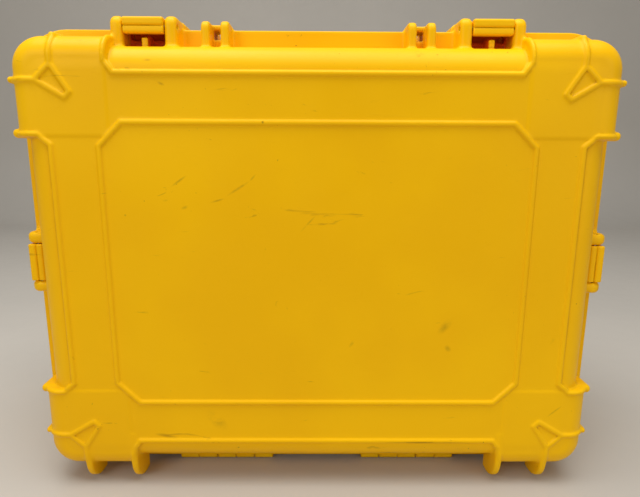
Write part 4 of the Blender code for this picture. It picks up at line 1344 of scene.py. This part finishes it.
def studio_surface(name, colours, scale):
    n = Nodes(name)
    n.link(n.mix(n.noise(scale, 4), *colours), n.shader.inputs["Base Color"])
    n.link(n.range(n.noise(scale * 8, 3), 0.3, 0.7, 0.62, 0.8), n.shader.inputs["Roughness"])
    n.shader.inputs["Specular IOR Level"].default_value = 0.2
    return n.material


def floor_and_backdrop():
    """A pale floor that curves up, well behind the case, into a grey backdrop."""
    bm = bmesh.new()
    half, bend, back, height = 4.0, 0.5, 2.2, 3.5
    section = [(-3.0, 0.0), (back - bend, 0.0)]
    for step in range(1, 13):
        angle = math.radians(90 * step / 12)
        section.append((back - bend + bend * math.sin(angle), bend - bend * math.cos(angle)))
    section.append((back, height))
    rows = [[bm.verts.new((x, y, z)) for y, z in section] for x in (-half, half)]
    for i in range(len(section) - 1):
        bm.faces.new((rows[0][i], rows[1][i], rows[1][i + 1], rows[0][i + 1]))
    mesh = bpy.data.meshes.new("studio_floor")
    bm.to_mesh(mesh)
    bm.free()
    mesh.shade_smooth()
    obj = bpy.data.objects.new("studio_floor", mesh)
    bpy.context.scene.collection.objects.link(obj)
    paint(obj, studio_surface("pale_floor", (rgb(196, 189, 178), rgb(187, 181, 171)), 3))


def area_light(name, place, target, size, power, colour=(1, 1, 1)):
    light = bpy.data.lights.new(name, "AREA")
    light.shape = "RECTANGLE"
    light.size, light.size_y = size
    light.energy = power
    light.color = colour
    obj = bpy.data.objects.new(name, light)
    obj.location = place
    obj.rotation_mode = "QUATERNION"
    obj.rotation_quaternion = (Vector(target) - Vector(place)).to_track_quat("-Z", "Y")
    obj.visible_camera = False
    bpy.context.scene.collection.objects.link(obj)


def studio():
    floor_and_backdrop()
    area_light("overhead", (-0.1, -0.35, 2.2), (0, -0.1, 0.25), (2.2, 1.4), 49)
    area_light("front_left", (-1.5, -2.2, 1.5), (0, 0, 0.25), (1.4, 1.4), 20)
    area_light("front_right", (1.8, -2.0, 0.9), (0, 0, 0.25), (1.4, 1.4), 9)
    world = bpy.data.worlds.new("soft grey")
    world.use_nodes = True
    world.node_tree.nodes["Background"].inputs["Color"].default_value = (0.75, 0.77, 0.8, 1)
    world.node_tree.nodes["Background"].inputs["Strength"].default_value = 0.3
    bpy.context.scene.world = world


def camera():
    """The photograph's viewpoint: half a metre from the lid, a little above its middle."""
    data = bpy.data.cameras.new("camera")
    data.sensor_width = 36
    data.lens = 28.125
    data.clip_start = 0.01
    obj = bpy.data.objects.new("camera", data)
    pitch, yaw, roll = (math.radians(a) for a in (-11.5, -0.42, 0.3))
    turn = Matrix.Rotation(yaw, 4, "Z") @ Matrix.Rotation(math.pi / 2 + pitch, 4, "X")
    turn = turn @ Matrix.Rotation(roll, 4, "Z")
    obj.matrix_world = Matrix.Translation((-1.5 * MM, FACE - 0.501, CENTRE_Z + 125.5 * MM)) @ turn
    bpy.context.scene.collection.objects.link(obj)
    bpy.context.scene.camera = obj


studio()
camera()

scene = bpy.context.scene
scene.view_settings.view_transform = "Standard"
